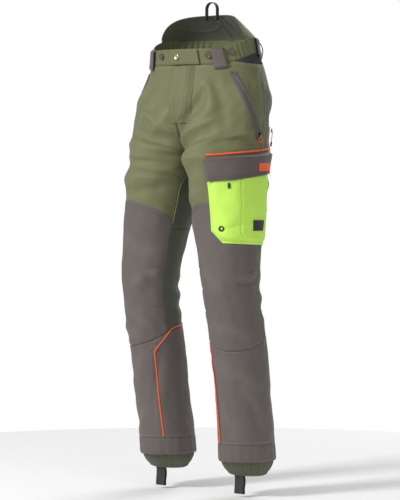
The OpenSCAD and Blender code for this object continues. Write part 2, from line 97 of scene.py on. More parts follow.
def mix(a: Array, b: Array, t: Array) -> Array:
    """Straight blend from a to b.

    Args:
        a: the value at 0.
        b: the value at 1.
        t: how far along.

    Returns:
        The value there.
    """
    return a * (1 - t) + b * t


def ease(t: Array) -> Array:
    """Smooth step from 0 to 1, flat at both ends."""
    c = np.clip(t, 0, 1)
    return c * c * (3 - 2 * c)


def hump(x: Array, centre: float, width: float) -> Array:
    """Bell of height 1 round a centre.

    Args:
        x: where it is read.
        centre: its top.
        width: how far from the top it has fallen to 0.37.

    Returns:
        Its height.
    """
    return np.exp(-(((x - centre) / width) ** 2))


def unit(v: Array) -> Array:
    """Vectors scaled to length 1 along the last axis."""
    return v / np.maximum(np.linalg.norm(v, axis=-1, keepdims=True), 1e-12)


# --- Body shape -----------------------------------------------------------------------------


@dataclass(frozen=True)
class BodyShape:
    """The worn shape that the panels lie on, in millimetres.

    Below the crotch u runs once round a leg from the inseam over the front, the outer side and
    the back. Above it u runs from the centre front to the centre back.
    """

    rise_mm: float = 270
    leg_x: tuple = ((-1100, 130), (-1010, 131), (-890, 134), (-600, 133), (-505, 125), (-404, 113), (-270, 92))
    leg_a: tuple = (
        (-1100, 66), (-1010, 66), (-890, 64), (-747, 66), (-607, 67), (-505, 74), (-404, 83), (-270, 92))
    leg_b: tuple = (
        (-1100, 80), (-1010, 79), (-890, 77), (-747, 76), (-607, 76), (-505, 84), (-404, 98), (-270, 121))
    mid_y: tuple = (
        (-1100, 20), (-1010, 14), (-890, -2), (-760, -20), (-660, -40), (-580, -52), (-505, -47),
        (-404, -36), (-270, -24), (-124, 2), (-48, 11), (0, 4), (120, 4))
    hip_a: tuple = ((-270, 184), (-200, 187), (-124, 181), (-48, 160), (0, 146), (120, 142))
    belly: tuple = ((-270, 132), (-200, 128), (-124, 120), (-48, 108), (0, 106), (120, 104))
    seat: tuple = ((-270, 148), (-200, 152), (-124, 146), (-48, 126), (0, 116), (120, 110))

    @staticmethod
    def curve(rows: tuple, z: Array) -> Array:
        """A smooth line through driving sections.

        Args:
            rows: pairs of height and value, lowest first.
            z: the heights to read.

        Returns:
            The values there.
        """
        xs, ys = (np.array(column, float) for column in zip(*rows))
        z = np.clip(np.asarray(z, float), xs[0], xs[-1])
        slopes = np.diff(ys) / np.diff(xs)
        tangents = np.concatenate([slopes[:1], (slopes[:-1] + slopes[1:]) / 2, slopes[-1:]])
        i = np.clip(np.searchsorted(xs, z, side="right") - 1, 0, len(xs) - 2)
        h = xs[i + 1] - xs[i]
        t = (z - xs[i]) / h
        start = ys[i] * (1 + 2 * t) * (1 - t) ** 2 + h * tangents[i] * t * (1 - t) ** 2
        return start + ys[i + 1] * t * t * (3 - 2 * t) + h * tangents[i + 1] * t * t * (t - 1)

    def point(self, u: Array, z: Array) -> Array:
        """Points of the left side's body shape at u and height z.

        Args:
            u: how far round the leg or the hip.
            z: heights in millimetres.

        Returns:
            The points in millimetres.
        """
        u, z = np.broadcast_arrays(np.asarray(u, float), np.asarray(z, float))
        low, high = np.minimum(z, -self.rise_mm), np.maximum(z, -self.rise_mm)
        opened = (1 - (1 - np.clip((z + self.rise_mm) / self.rise_mm, 0, 1)) ** 3.2) ** 0.8
        leg_x = self.curve(self.leg_x, low) - self.curve(self.leg_a, low) * np.cos(2 * np.pi * u)
        leg_y = -self.curve(self.leg_b, low) * np.sin(2 * np.pi * u)
        depth = np.where(u < 0.5, self.curve(self.belly, high), self.curve(self.seat, high))
        hip_x = self.curve(self.hip_a, high) * np.sin(np.pi * u)
        hip_y = -depth * np.cos(np.pi * u)
        x, y = mix(leg_x, hip_x, opened), mix(leg_y, hip_y, opened)
        return np.stack([x, y + self.curve(self.mid_y, z), z], -1)

    def outward(self, u: Array, z: Array) -> Array:
        """Unit normals of the left side, pointing out of the body.

        Args:
            u: how far round the leg or the hip.
            z: heights in millimetres.

        Returns:
            The normals.
        """
        across = self.point(u + 0.004, z) - self.point(u - 0.004, z)
        return unit(np.cross(across, self.point(u, z + 2) - self.point(u, z - 2)))

    def skin(self, side: Side, u: Array, z: Array, d: Array = 0.0) -> Array:
        """Points d millimetres outside the body on one side, in metres.

        Args:
            side: which leg.
            u: how far round it.
            z: heights in millimetres.
            d: how far outside the body.

        Returns:
            The points, with a last axis of 3.
        """
        d = np.asarray(d, float)
        p = self.point(u, z) + (d[..., None] if d.ndim else d) * self.outward(u, z)
        p[..., 0] = np.where(p[..., 2] > -self.rise_mm - 25, np.maximum(p[..., 0], 0.3), p[..., 0])
        p[..., 0] *= side.value
        return p * MM

    def waist(self, w: Array, z: Array, d: Array = 0.0) -> Array:
        """Points of the waist loop, in metres: w is 0 at the fly, 1 at the centre back, 2 at the fly again."""
        w, z, d = np.broadcast_arrays(np.asarray(w, float), np.asarray(z, float), np.asarray(d, float))
        v = w - 2 * np.floor(w / 2)
        u = np.where(v <= 1, v, 2 - v)
        p = self.point(u, z) + d[..., None] * self.outward(u, z)
        p[..., 0] *= np.where(v <= 1, 1, -1)
        return p * MM


BODY = BodyShape()
ACROSS_MM = 520.0  # about once round a thigh: it turns u into millimetres
SETTLING_STEPS = 4  # an edge given over u and one given over z meet after a few turns
STITCH_SPACING_MM, STITCH_LENGTH_MM, STITCH_RADIUS_MM = 3.4, 2.5, 0.36


@dataclass(frozen=True)
class Pattern:
    """The seam lines of the trousers, as heights over u and as u over heights, in millimetres."""

    band_mm: float = 40
    back_rise_mm: float = 30
    stretch_mm: float = 27
    knee_mm: float = 622
    outseam_mm: float = 1030
    hem_mm: float = 44
    inseam_turn_mm: float = 264

    def band_top(self, w: Array) -> Array:
        """Top of the waistband, higher at the back."""
        v = np.asarray(w, float) - 2 * np.floor(np.asarray(w, float) / 2)
        u = np.where(v <= 1, v, 2 - v)
        return self.back_rise_mm * ease((u - 0.2) / 0.4)

    def band_low(self, w: Array) -> Array:
        """Bottom of the waistband."""
        return self.band_top(w) - self.band_mm

    def panel_top(self, u: Array) -> Array:
        """Top of the body cloth, cut away under the band for the stretch wedge."""
        share = np.clip((u - 11 / 32) / (16 / 32), 0, 1)
        return self.band_low(u) - self.stretch_mm * np.sin(np.pi * share)

    @staticmethod
    def from_front(u: Array) -> Array:
        """Degrees round the leg from its front."""
        return 360 * np.where(u > 0.75, u - 1, u) - 90

    def overlay_top(self, u: Array) -> Array:
        """Top seam of the knee overlay."""
        return -376 - 62 * ((self.from_front(u) - 30) / 110) ** 2

    def knee_seam(self, u: Array) -> Array:
        """Seam under the knee."""
        return -750 + 39 * ((self.from_front(u) - 25) / 95) ** 2

    def seam_in(self, z: Array) -> Array:
        """The seam between front and back cloth near the inseam."""
        return 0.055 * ease((-self.inseam_turn_mm - np.asarray(z, float)) / 90) + 0.0015

    def seam_out(self, z: Array) -> Array:
        """The seam between front and back cloth at the outer side."""
        return 0.56 - 0.02 * ease((-270 - np.asarray(z, float)) / 120)


CUT = Pattern()


# --- Folds ----------------------------------------------------------------------------------


@dataclass(frozen=True)
class Fold:
    """One soft fold of the cloth: a ridge, or a valley where its height is negative."""

    u0: float
    z0: float
    u1: float
    z1: float
    height_mm: float
    width_mm: float

    def lift(self, u: Array, z: Array) -> Array:
        """How far the fold lifts the cloth at u and z, in millimetres."""
        ax, az, bx, bz = self.u0 * ACROSS_MM, self.z0, self.u1 * ACROSS_MM, self.z1
        px, pz = u * ACROSS_MM - ax, z - az
        length2 = (bx - ax) ** 2 + (bz - az) ** 2
        t = np.clip((px * (bx - ax) + pz * (bz - az)) / length2, -0.25, 1.25)
        away = np.hypot(px - t * (bx - ax), pz - t * (bz - az))
        ends = ease((t + 0.25) / 0.4) * ease((1.25 - t) / 0.4)
        return self.height_mm * ends * np.exp(-((away / self.width_mm) ** 2))


THIGH_FOLDS = {
    Side.RIGHT: (
        Fold(0.04, -232, 0.30, -196, -7, 15), Fold(0.05, -250, 0.36, -236, 6, 14), Fold(0.05, -268, 0.40, -286, -5, 15),
        Fold(0.06, -300, 0.42, -330, 5, 18), Fold(0.02, -150, 0.16, -215, 4, 12), Fold(0.10, -120, 0.30, -170, -4, 16),
        Fold(0.22, -90, 0.42, -150, 4, 18), Fold(0.12, -345, 0.36, -372, -3, 14), Fold(0.30, -120, 0.46, -250, 4, 20),
        Fold(0.05, -205, 0.22, -150, 5, 9), Fold(0.07, -282, 0.30, -262, 4, 8), Fold(0.08, -315, 0.34, -300, -4, 9),
        Fold(0.03, -250, 0.20, -222, -4, 7)),
    Side.LEFT: (
        Fold(0.03, -215, 0.16, -120, -6, 14), Fold(0.05, -238, 0.22, -150, 6, 15), Fold(0.05, -262, 0.26, -205, -5, 14),
        Fold(0.08, -285, 0.26, -262, 5, 14), Fold(0.10, -330, 0.26, -300, -4, 15), Fold(0.16, -80, 0.22, -150, 4, 14),
        Fold(0.22, -90, 0.33, -210, -4, 17), Fold(0.36, -90, 0.42, -220, 4, 18), Fold(0.30, -232, 0.50, -228, -4, 10),
        Fold(0.10, -380, 0.24, -350, 4, 14), Fold(0.06, -225, 0.24, -178, 4, 8), Fold(0.07, -272, 0.27, -232, 4, 9),
        Fold(0.05, -195, 0.17, -95, -4, 9), Fold(0.31, -225, 0.48, -206, 3, 7), Fold(0.33, -244, 0.52, -236, -3, 6)),
}
SEAT_FOLDS = (
    Fold(0.62, -110, 0.90, -170, 4, 20), Fold(0.66, -170, 0.97, -240, -5, 18), Fold(0.60, -250, 0.95, -285, 5, 16),
    Fold(0.62, -300, 0.96, -312, -6, 14), Fold(0.60, -335, 0.92, -345, 5, 16), Fold(0.70, -400, 0.94, -380, -3, 18),
    Fold(0.75, -440, 0.62, -420, 3, 16))
LEG_FOLDS = {
    Side.RIGHT: (
        Fold(0.34, -470, 0.12, -505, -3, 18), Fold(0.08, -560, 0.22, -590, 4, 16), Fold(0.30, -640, 0.14, -700, 3, 18),
        Fold(0.36, -700, 0.22, -725, 4, 14), Fold(0.22, -770, 0.34, -860, 4, 18), Fold(0.14, -800, 0.19, -930, -3, 12),
        Fold(0.24, -905, 0.40, -960, -3, 18), Fold(0.03, -600, 0.16, -575, -4, 10)),
    Side.LEFT: (
        Fold(0.12, -420, 0.20, -530, 4, 16), Fold(0.20, -560, 0.32, -600, 4, 18), Fold(0.42, -572, 0.52, -560, 4, 7),
        Fold(0.42, -585, 0.53, -576, -4, 7), Fold(0.22, -690, 0.42, -712, 4, 15), Fold(0.20, -780, 0.46, -840, 4, 20),
        Fold(0.36, -830, 0.50, -960, -4, 18), Fold(0.22, -890, 0.30, -970, -3, 16),
        Fold(0.14, -590, 0.24, -575, -3, 12)),
}
BACK_FOLDS = (
    Fold(0.58, -560, 0.94, -580, 5, 13), Fold(0.60, -592, 0.96, -602, -6, 12), Fold(0.58, -620, 0.97, -622, 7, 12),
    Fold(0.60, -645, 0.96, -650, -6, 12), Fold(0.58, -676, 0.94, -668, 5, 13), Fold(0.64, -500, 0.90, -530, -3, 18),
    Fold(0.62, -760, 0.90, -800, 4, 20), Fold(0.60, -870, 0.92, -850, -3, 20), Fold(0.66, -930, 0.86, -950, 3, 18))


def drape(side: Side, u: Array, z: Array) -> Array:
    """How far the cloth stands off the body shape, in millimetres, with the folds of both zones.

    Args:
        side: which leg.
        u: how far round it.
        z: heights in millimetres.

    Returns:
        The lift at each point.
    """
    u = np.asarray(u, float)
    wrapped = u % 1.0
    lift = np.zeros(np.broadcast(u, z).shape)
    fullness = 1.15 * (0.3 + 0.7 * np.where(np.asarray(z) < -215, ease(np.minimum(wrapped, 1 - wrapped) / 0.11), 1.0))
    for fold in (*THIGH_FOLDS[side], *SEAT_FOLDS, *LEG_FOLDS[side]):
        lift += fullness * fold.lift(wrapped, z)
    for fold in BACK_FOLDS:
        lift += 0.42 * fold.lift(wrapped, z)
    phase = 1.7 * side.value
    lift += 0.9 * np.sin(wrapped * 41 + z * 0.021 + phase) * np.sin(z * 0.034 - wrapped * 9 + phase)
    lift += 0.5 * np.sin(wrapped * 83 - z * 0.047 + phase) * np.sin(z * 0.071 + phase)
    calm = ease((-CUT.band_mm - 8 - z) / 40) * ease((z + CUT.outseam_mm - CUT.hem_mm - 4) / 30)
    middle = np.where(z > -290, ease(wrapped / 0.05) * ease((1 - wrapped) / 0.05), 1.0)
    return lift * calm * middle


# --- Finishes -------------------------------------------------------------------------------


def add_node(tree: bpy.types.NodeTree, kind: str, **settings: object) -> bpy.types.Node:
    """Adds a node and sets its properties, and its inputs where the name is an input's."""
    node = tree.nodes.new(kind)
    for name, value in settings.items():
        if hasattr(node, name) and name not in node.inputs:
            setattr(node, name, value)
        else:
            node.inputs[name].default_value = value
    return node


def link(tree: bpy.types.NodeTree, source: bpy.types.NodeSocket, target: bpy.types.NodeSocket) -> None:
    """Links two sockets."""
    tree.links.new(source, target)


@dataclass(frozen=True)
class ClothFinish:
    """A woven cloth: its colours, its weave and how it wears along the seams."""

    name: str
    colour: tuple
    shade: tuple
    pitch_mm: float = 1.3
    relief: float = 0.25
    roughness: float = 0.66
    gloss: float = 0.42
    sheen: float = 0.12
    mottle: float = 0.5
    twill: bool = True

    def material(self) -> bpy.types.Material:
        """Builds the cloth from two crossed wave patterns, soft mottling and fine fibre noise."""
        made = bpy.data.materials.new(self.name)
        made.use_nodes = True
        tree = made.node_tree
        shader = tree.nodes["Principled BSDF"]
        shader.inputs["Roughness"].default_value = self.roughness
        shader.inputs["Sheen Weight"].default_value = self.sheen
        shader.inputs["Sheen Roughness"].default_value = 0.5
        shader.inputs["Specular IOR Level"].default_value = self.gloss
        place = add_node(tree, "ShaderNodeUVMap", uv_map="UVMap")
        turn = add_node(tree, "ShaderNodeMapping")
        turn.inputs["Rotation"].default_value = (0, 0, math.radians(38 if self.twill else 0))
        link(tree, place.outputs["UV"], turn.inputs["Vector"])
        scale = 1000 / self.pitch_mm / (2 * math.pi)
        warp = add_node(tree, "ShaderNodeTexWave", bands_direction="X", Scale=scale, Distortion=0.6)
        weft = add_node(tree, "ShaderNodeTexWave", bands_direction="Y", Scale=scale * 0.8, Distortion=0.6)
        for wave in (warp, weft):
            link(tree, turn.outputs["Vector"], wave.inputs["Vector"])
        weave = add_node(tree, "ShaderNodeMath", operation="MULTIPLY")
        link(tree, warp.outputs["Fac"], weave.inputs[0])
        link(tree, weft.outputs["Fac"], weave.inputs[1])
        spot = add_node(tree, "ShaderNodeTexCoord")
        cloud = add_node(tree, "ShaderNodeTexNoise", Scale=14.0, Detail=4.0, Roughness=0.6)
        fibre = add_node(tree, "ShaderNodeTexNoise", Scale=900.0, Detail=3.0, Roughness=0.7)
        for noise in (cloud, fibre):
            link(tree, spot.outputs["Object"], noise.inputs["Vector"])
        tone = add_node(tree, "ShaderNodeMath", operation="MULTIPLY")
        tone.inputs[1].default_value = self.mottle
        link(tree, cloud.outputs["Fac"], tone.inputs[0])
        thread = add_node(tree, "ShaderNodeMath", operation="MULTIPLY_ADD")
        thread.inputs[1].default_value = 0.35
        link(tree, weave.outputs["Value"], thread.inputs[0])
        link(tree, tone.outputs["Value"], thread.inputs[2])
        base = add_node(tree, "ShaderNodeMix", data_type="RGBA")
        base_in = [s for s in base.inputs if s.type == "RGBA"]
        base_in[0].default_value = (*self.colour, 1)
        base_in[1].default_value = (*self.shade, 1)
        link(tree, thread.outputs["Value"], base.inputs["Factor"])
        worn = add_node(tree, "ShaderNodeAttribute", attribute_name="wear")
        pale = add_node(tree, "ShaderNodeMix", data_type="RGBA")
        pale_in = [s for s in pale.inputs if s.type == "RGBA"]
        pale_in[1].default_value = (*[min(1.0, c * 1.35 + 0.015) for c in self.colour], 1)
        wear = add_node(tree, "ShaderNodeMath", operation="MULTIPLY")
        link(tree, worn.outputs["Fac"], wear.inputs[0])
        link(tree, fibre.outputs["Fac"], wear.inputs[1])
        link(tree, wear.outputs["Value"], pale.inputs["Factor"])
        base_out = [s for s in base.outputs if s.type == "RGBA"][0]
        link(tree, base_out, pale_in[0])
        link(tree, [s for s in pale.outputs if s.type == "RGBA"][0], shader.inputs["Base Color"])
        fuzz = add_node(tree, "ShaderNodeMath", operation="MULTIPLY_ADD")
        fuzz.inputs[1].default_value = 0.5
        link(tree, fibre.outputs["Fac"], fuzz.inputs[0])
        link(tree, weave.outputs["Value"], fuzz.inputs[2])
        bump = add_node(tree, "ShaderNodeBump", Strength=self.relief, Distance=0.0006)
        link(tree, fuzz.outputs["Value"], bump.inputs["Height"])
        link(tree, bump.outputs["Normal"], shader.inputs["Normal"])
        return made


@dataclass(frozen=True)
class HardFinish:
    """A moulded or metal finish with fine scratches and a little colour change."""

    name: str
    colour: tuple
    metallic: float = 0.0
    roughness: float = 0.45
    grain: float = 350.0
    spread: float = 0.22

    def material(self) -> bpy.types.Material:
        """Builds the finish from two noises on object coordinates."""
        made = bpy.data.materials.new(self.name)
        made.use_nodes = True
        tree = made.node_tree
        shader = tree.nodes["Principled BSDF"]
        shader.inputs["Metallic"].default_value = self.metallic
        spot = add_node(tree, "ShaderNodeTexCoord")
        grain = add_node(tree, "ShaderNodeTexNoise", Scale=self.grain, Detail=4.0)
        wide = add_node(tree, "ShaderNodeTexNoise", Scale=60.0, Detail=2.0)
        for noise in (grain, wide):
            link(tree, spot.outputs["Object"], noise.inputs["Vector"])
        tint = add_node(tree, "ShaderNodeMix", data_type="RGBA")
        ends = [s for s in tint.inputs if s.type == "RGBA"]
        ends[0].default_value = (*[c * (1 - self.spread) for c in self.colour], 1)
        ends[1].default_value = (*[min(1.0, c * (1 + self.spread)) for c in self.colour], 1)
        link(tree, wide.outputs["Fac"], tint.inputs["Factor"])
        link(tree, [s for s in tint.outputs if s.type == "RGBA"][0], shader.inputs["Base Color"])
        rough = add_node(tree, "ShaderNodeMapRange")
        rough.inputs["To Min"].default_value = self.roughness - 0.1
        rough.inputs["To Max"].default_value = self.roughness + 0.12
        link(tree, grain.outputs["Fac"], rough.inputs["Value"])
        link(tree, rough.outputs["Result"], shader.inputs["Roughness"])
        bump = add_node(tree, "ShaderNodeBump", Strength=0.12, Distance=0.0004)
        link(tree, grain.outputs["Fac"], bump.inputs["Height"])
        link(tree, bump.outputs["Normal"], shader.inputs["Normal"])
        return made


OLIVE = ClothFinish("olive_cloth", (0.158, 0.164, 0.074), (0.112, 0.120, 0.052))
MOSS = ClothFinish("moss_stretch_cloth", (0.092, 0.098, 0.060), (0.062, 0.068, 0.040), pitch_mm=1.0, twill=False)
TAUPE = ClothFinish("taupe_cloth", (0.128, 0.108, 0.100), (0.094, 0.078, 0.072), pitch_mm=1.5, relief=0.35)
NEON = ClothFinish("neon_cloth", (0.60, 0.95, 0.13), (0.50, 0.86, 0.08), pitch_mm=1.1, mottle=0.3, sheen=0.05)
ORANGE = ClothFinish("orange_piping", (0.95, 0.13, 0.03), (0.80, 0.08, 0.02), pitch_mm=0.8, mottle=0.3, twill=False)
BLACK = ClothFinish(
    "black_webbing", (0.030, 0.028, 0.030), (0.018, 0.017, 0.018), pitch_mm=1.8, relief=0.6, twill=False)
NAVY = ClothFinish("navy_stretch_cloth", (0.036, 0.034, 0.046), (0.022, 0.021, 0.030), pitch_mm=1.0, twill=False)
LINING = ClothFinish("lining_cloth", (0.150, 0.156, 0.108), (0.110, 0.116, 0.080), pitch_mm=1.6, twill=False)
PADDING = ClothFinish("pad_fibre", (0.72, 0.72, 0.68), (0.58, 0.58, 0.55), pitch_mm=2.4, relief=0.6)
THREAD = ClothFinish("olive_thread", (0.115, 0.120, 0.060), (0.080, 0.085, 0.040), pitch_mm=0.4)
PALE = ClothFinish("pale_seam_tape", (0.33, 0.36, 0.19), (0.25, 0.28, 0.14), pitch_mm=0.6)
TAUPE_THREAD = ClothFinish("taupe_thread", (0.095, 0.083, 0.076), (0.070, 0.060, 0.055), pitch_mm=0.4)
NEON_THREAD = ClothFinish("neon_thread", (0.42, 0.72, 0.09), (0.36, 0.62, 0.07), pitch_mm=0.4)
PLASTIC = HardFinish("black_plastic", (0.022, 0.022, 0.024))
OLIVE_PLASTIC = HardFinish("olive_plastic", (0.085, 0.09, 0.055))
METAL = HardFinish("snap_metal", (0.62, 0.58, 0.45), metallic=1.0, roughness=0.32)


class Dresser:
    """Keeps one material for each finish and puts it on pieces."""

    def __init__(self) -> None:
        """Starts with no materials made."""
        self.made: dict = {}

    def material(self, finish: ClothFinish | HardFinish) -> bpy.types.Material:
        """The finish's material, made at its first use."""
        if finish.name not in self.made:
            self.made[finish.name] = finish.material()
        return self.made[finish.name]

    def dress(self, piece: bpy.types.Object, finish: ClothFinish | HardFinish) -> bpy.types.Object:
        """Puts a finish on a whole piece."""
        piece.data.materials.clear()
        piece.data.materials.append(self.material(finish))
        return piece


DRESSER = Dresser()


# --- Meshes ---------------------------------------------------------------------------------


def make_piece(
    name: str, points: Array, faces: Sequence[Sequence[int]], uv: Array | None = None, wear: Array | None = None
) -> bpy.types.Object:
    """Makes a smooth mesh object at the origin.

    Args:
        name: the piece's name.
        points: its vertices, in metres.
        faces: vertex numbers of each face, turned outwards.
        uv: a place on the cloth for each vertex, in metres.
        wear: how worn each vertex is, from 0 to 1.

    Returns:
        The object, linked to the scene.
    """
    mesh = bpy.data.meshes.new(name)
    mesh.from_pydata(np.asarray(points).reshape(-1, 3).tolist(), [], [list(map(int, f)) for f in faces])
    mesh.validate()
    uv = np.asarray(points).reshape(-1, 3)[:, [0, 2]] if uv is None else np.asarray(uv).reshape(-1, 2)
    layer = mesh.uv_layers.new(name="UVMap")
    corners = np.empty(len(mesh.loops), np.int32)
    mesh.loops.foreach_get("vertex_index", corners)
    layer.data.foreach_set("uv", uv[corners].astype(np.float32).ravel())
    worn = np.zeros(len(mesh.vertices)) if wear is None else np.asarray(wear, float).ravel()
    mesh.attributes.new("wear", "FLOAT", "POINT").data.foreach_set("value", worn.astype(np.float32))
    mesh.polygons.foreach_set("use_smooth", np.ones(len(mesh.polygons), bool))
    made = bpy.data.objects.new(name, mesh)
    bpy.context.scene.collection.objects.link(made)
    return made


def grid_faces(n: int, m: int, start: int, flip: bool, loop: bool = False) -> list:
    """Quads of an n by m grid of points whose rows are stored one after another."""
    faces = []
    for i in range(n if loop else n - 1):
        a, b = start + i * m, start + ((i + 1) % n) * m
        for j in range(m - 1):
            quad = (a + j, b + j, b + j + 1, a + j + 1)
            faces.append(quad[::-1] if flip else quad)
    return faces


def slab(
    name: str, outer: Array, inner: Array, uv: Array, wear: Array | None = None, loop: bool = False
) -> bpy.types.Object:
    """A closed sheet of cloth between an outer and an inner grid of points.

    Args:
        name: the piece's name.
        outer: n by m points of the face that shows, u first.
        inner: the same of the back face.
        uv: n by m places on the cloth, in metres.
        wear: n by m wear values.
        loop: True where the last column meets the first, as on a sleeve.

    Returns:
        The piece.
    """
    n, m = outer.shape[:2]
    count = n * m
    faces = grid_faces(n, m, 0, False, loop) + grid_faces(n, m, count, True, loop)
    last = n if loop else n - 1
    for i in range(last):
        a, b = i * m, ((i + 1) % n) * m
        faces.append((b, a, a + count, b + count))
        faces.append((a + m - 1, b + m - 1, b + m - 1 + count, a + m - 1 + count))
    if not loop:
        for j in range(m - 1):
            faces.append((j, j + 1, j + 1 + count, j + count))
            c = (n - 1) * m + j
            faces.append((c + 1, c, c + count, c + 1 + count))
    points = np.concatenate([outer.reshape(-1, 3), inner.reshape(-1, 3)])
    coords = np.concatenate([uv.reshape(-1, 2)] * 2)
    worn = None if wear is None else np.concatenate([wear.ravel()] * 2)
    piece = make_piece(name, points, faces, coords, worn)
    return turn_out(piece, outer, inner)


def turn_out(piece: bpy.types.Object, outer: Array, inner: Array) -> bpy.types.Object:
    """Turns a slab's faces round if they point from the outer layer to the inner one."""
    n, m = outer.shape[:2]
    i, j = n // 2, m // 2
    i2, j2 = min(i + 1, n - 1), min(j + 1, m - 1)
    if i2 == i:
        i -= 1
    if j2 == j:
        j -= 1
    normal = np.cross(outer[i2, j] - outer[i, j], outer[i, j2] - outer[i, j])
    if np.dot(normal, outer[i, j] - inner[i, j]) < 0:
        piece.data.flip_normals()
    return piece


def tube(name: str, path: Array, radius: float, sides: int = 10, flat: float = 1.0) -> bpy.types.Object:
    """A round or flattened cord along a path.

    Args:
        name: the piece's name.
        path: the points of its middle line, in metres.
        radius: half its width, in metres.
        sides: how many sides it has.
        flat: its height as a share of its width.

    Returns:
        The piece, closed at both ends.
    """
    path = np.asarray(path, float)
    along = unit(np.gradient(path, axis=0))
    side_way = np.cross(along[0], [0, 0, 1.0] if abs(along[0][2]) < 0.9 else [1.0, 0, 0])
    rings, uv, length = [], [], 0.0
    for i, p in enumerate(path):
        side_way = unit(side_way - along[i] * np.dot(side_way, along[i]))
        up = np.cross(along[i], side_way)
        length += 0 if i == 0 else np.linalg.norm(p - path[i - 1])
        turn = np.arange(sides) * 2 * np.pi / sides
        rings.append(p + radius * (np.cos(turn)[:, None] * side_way + flat * np.sin(turn)[:, None] * up))
        uv.append(np.stack([turn * radius, np.full(sides, length)], -1))
    n = len(path)
    faces = [
        (i * sides + k, i * sides + (k + 1) % sides, (i + 1) * sides + (k + 1) % sides, (i + 1) * sides + k)
        for i in range(n - 1) for k in range(sides)]
    faces += [tuple(range(sides))[::-1], tuple((n - 1) * sides + k for k in range(sides))]
    return make_piece(name, np.concatenate(rings), faces, np.concatenate(uv))


def lathe(name: str, profile: Sequence, centre: Array, axis: Array, segments: int = 36) -> bpy.types.Object:
    """A turned part.

    Args:
        name: the piece's name.
        profile: radius and height of each point in millimetres, from the axis at the back round to the axis.
        centre: where its height is 0, in metres.
        axis: the way it faces.
        segments: how many steps it turns in.

    Returns:
        The piece.
    """
    axis = unit(np.asarray(axis, float))
    side_way = unit(np.cross(axis, [0, 0, 1.0] if abs(axis[2]) < 0.9 else [1.0, 0, 0]))
    up = np.cross(axis, side_way)
    turn = np.arange(segments) * 2 * np.pi / segments
    rings = [
        centre + MM * (r * (np.cos(turn)[:, None] * side_way + np.sin(turn)[:, None] * up) + h * axis)
        for r, h in profile]
    count, last = segments, len(profile) - 1
    faces = [
        (i * count + k, i * count + (k + 1) % count, (i + 1) * count + (k + 1) % count, (i + 1) * count + k)
        for i in range(last) for k in range(count)]
    if profile[0] == profile[-1]:
        points = np.concatenate(rings[:-1])
        faces = [tuple(v % (last * count) for v in f) for f in faces]
    else:
        points = np.concatenate(rings)
        faces += [tuple(range(count))[::-1], tuple(last * count + k for k in range(count))]
    return make_piece(name, points, faces)


def pebble(name: str, centre: Array, axes: Sequence[Array], power: float = 0.45) -> bpy.types.Object:
    """A box with well rounded edges.

    Args:
        name: the piece's name.
        centre: its middle, in metres.
        axes: its three half-axes, in millimetres.
        power: how round it is, from 0 for a box to 1 for an egg.

    Returns:
        The piece.
    """
    rings, around = 15, 28
    lat = np.linspace(-np.pi / 2, np.pi / 2, rings + 2)[1:-1, None]
    lon = np.arange(around)[None, :] * 2 * np.pi / around
    bend = lambda v: np.sign(v) * np.abs(v) ** power
    x, y, z = bend(np.cos(lat)) * bend(np.cos(lon)), bend(np.cos(lat)) * bend(np.sin(lon)), bend(np.sin(lat)) + 0 * lon
    a, b, c = (np.asarray(v, float) * MM for v in axes)
    grid = centre + x[..., None] * a + y[..., None] * b + z[..., None] * c
    points = np.concatenate([grid.reshape(-1, 3), [centre - c, centre + c]])
    faces = [
        (i * around + k, i * around + (k + 1) % around, (i + 1) * around + (k + 1) % around, (i + 1) * around + k)
        for i in range(rings - 1) for k in range(around)]
    low, high = rings * around, rings * around + 1
    faces += [(low, (k + 1) % around, k) for k in range(around)]
    faces += [(high, (rings - 1) * around + k, (rings - 1) * around + (k + 1) % around) for k in range(around)]
    piece = make_piece(name, points, faces)
    if np.dot(np.cross(a, b), c) < 0:
        piece.data.flip_normals()
    return piece


def joined(name: str, pieces: Sequence[bpy.types.Object]) -> bpy.types.Object:
    """Joins pieces that move together and share a finish into one.

    Args:
        name: the new piece's name.
        pieces: what is joined.

    Returns:
        The one piece.
    """
    with bpy.context.temp_override(
        active_object=pieces[0], object=pieces[0], selected_objects=list(pieces), selected_editable_objects=list(pieces)
    ):
        bpy.ops.object.join()
    pieces[0].name = name
    return pieces[0]


# --- Baking transforms ----------------------------------------------------------------------


def hip_bend(piece: bpy.types.Object, side: Side) -> None:
    """Bakes the cloth's transform into its mesh; no bending at the hip is set up.

    Args:
        piece: the cloth.
        side: which thigh; not used.
    """
    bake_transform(piece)


def knee_bend(piece: bpy.types.Object, side: Side) -> None:
    """Bakes the cloth's transform into its mesh; no bending at the knee is set up.

    Args:
        piece: the cloth.
        side: which knee; not used.
    """
    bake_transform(piece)


# --- Cloth building -------------------------------------------------------------------------


def cloth(side: Side, u: Array, z: Array, d: Array = 0.0) -> Array:
    """Points d millimetres off the draped cloth, in metres.

    Args:
        side: which leg.
        u: how far round it.
        z: heights in millimetres.
        d: how far off the cloth.

    Returns:
        The points, with a last axis of 3.
    """
    u, z = np.broadcast_arrays(np.asarray(u, float), np.asarray(z, float))
    return BODY.skin(side, u, z, d + drape(side, u, z))


def lengths(points: Array) -> Array:
    """Running length along the first axis of a grid of points.

    Args:
        points: the grid, with a last axis of 3.

    Returns:
        The length so far at each point.
    """
    steps = np.linalg.norm(np.diff(points, axis=0), axis=-1)
    return np.concatenate([np.zeros((1, *steps.shape[1:])), np.cumsum(steps, axis=0)])


def surface_uv(outer: Array) -> Array:
    """Places on the flat cloth for a grid of points, in metres.

    Args:
        outer: the grid of points.

    Returns:
        The places, with a last axis of 2.
    """
    across = lengths(outer)
    down = np.swapaxes(lengths(np.swapaxes(outer, 0, 1)), 0, 1)
    return np.stack([across, down], -1)


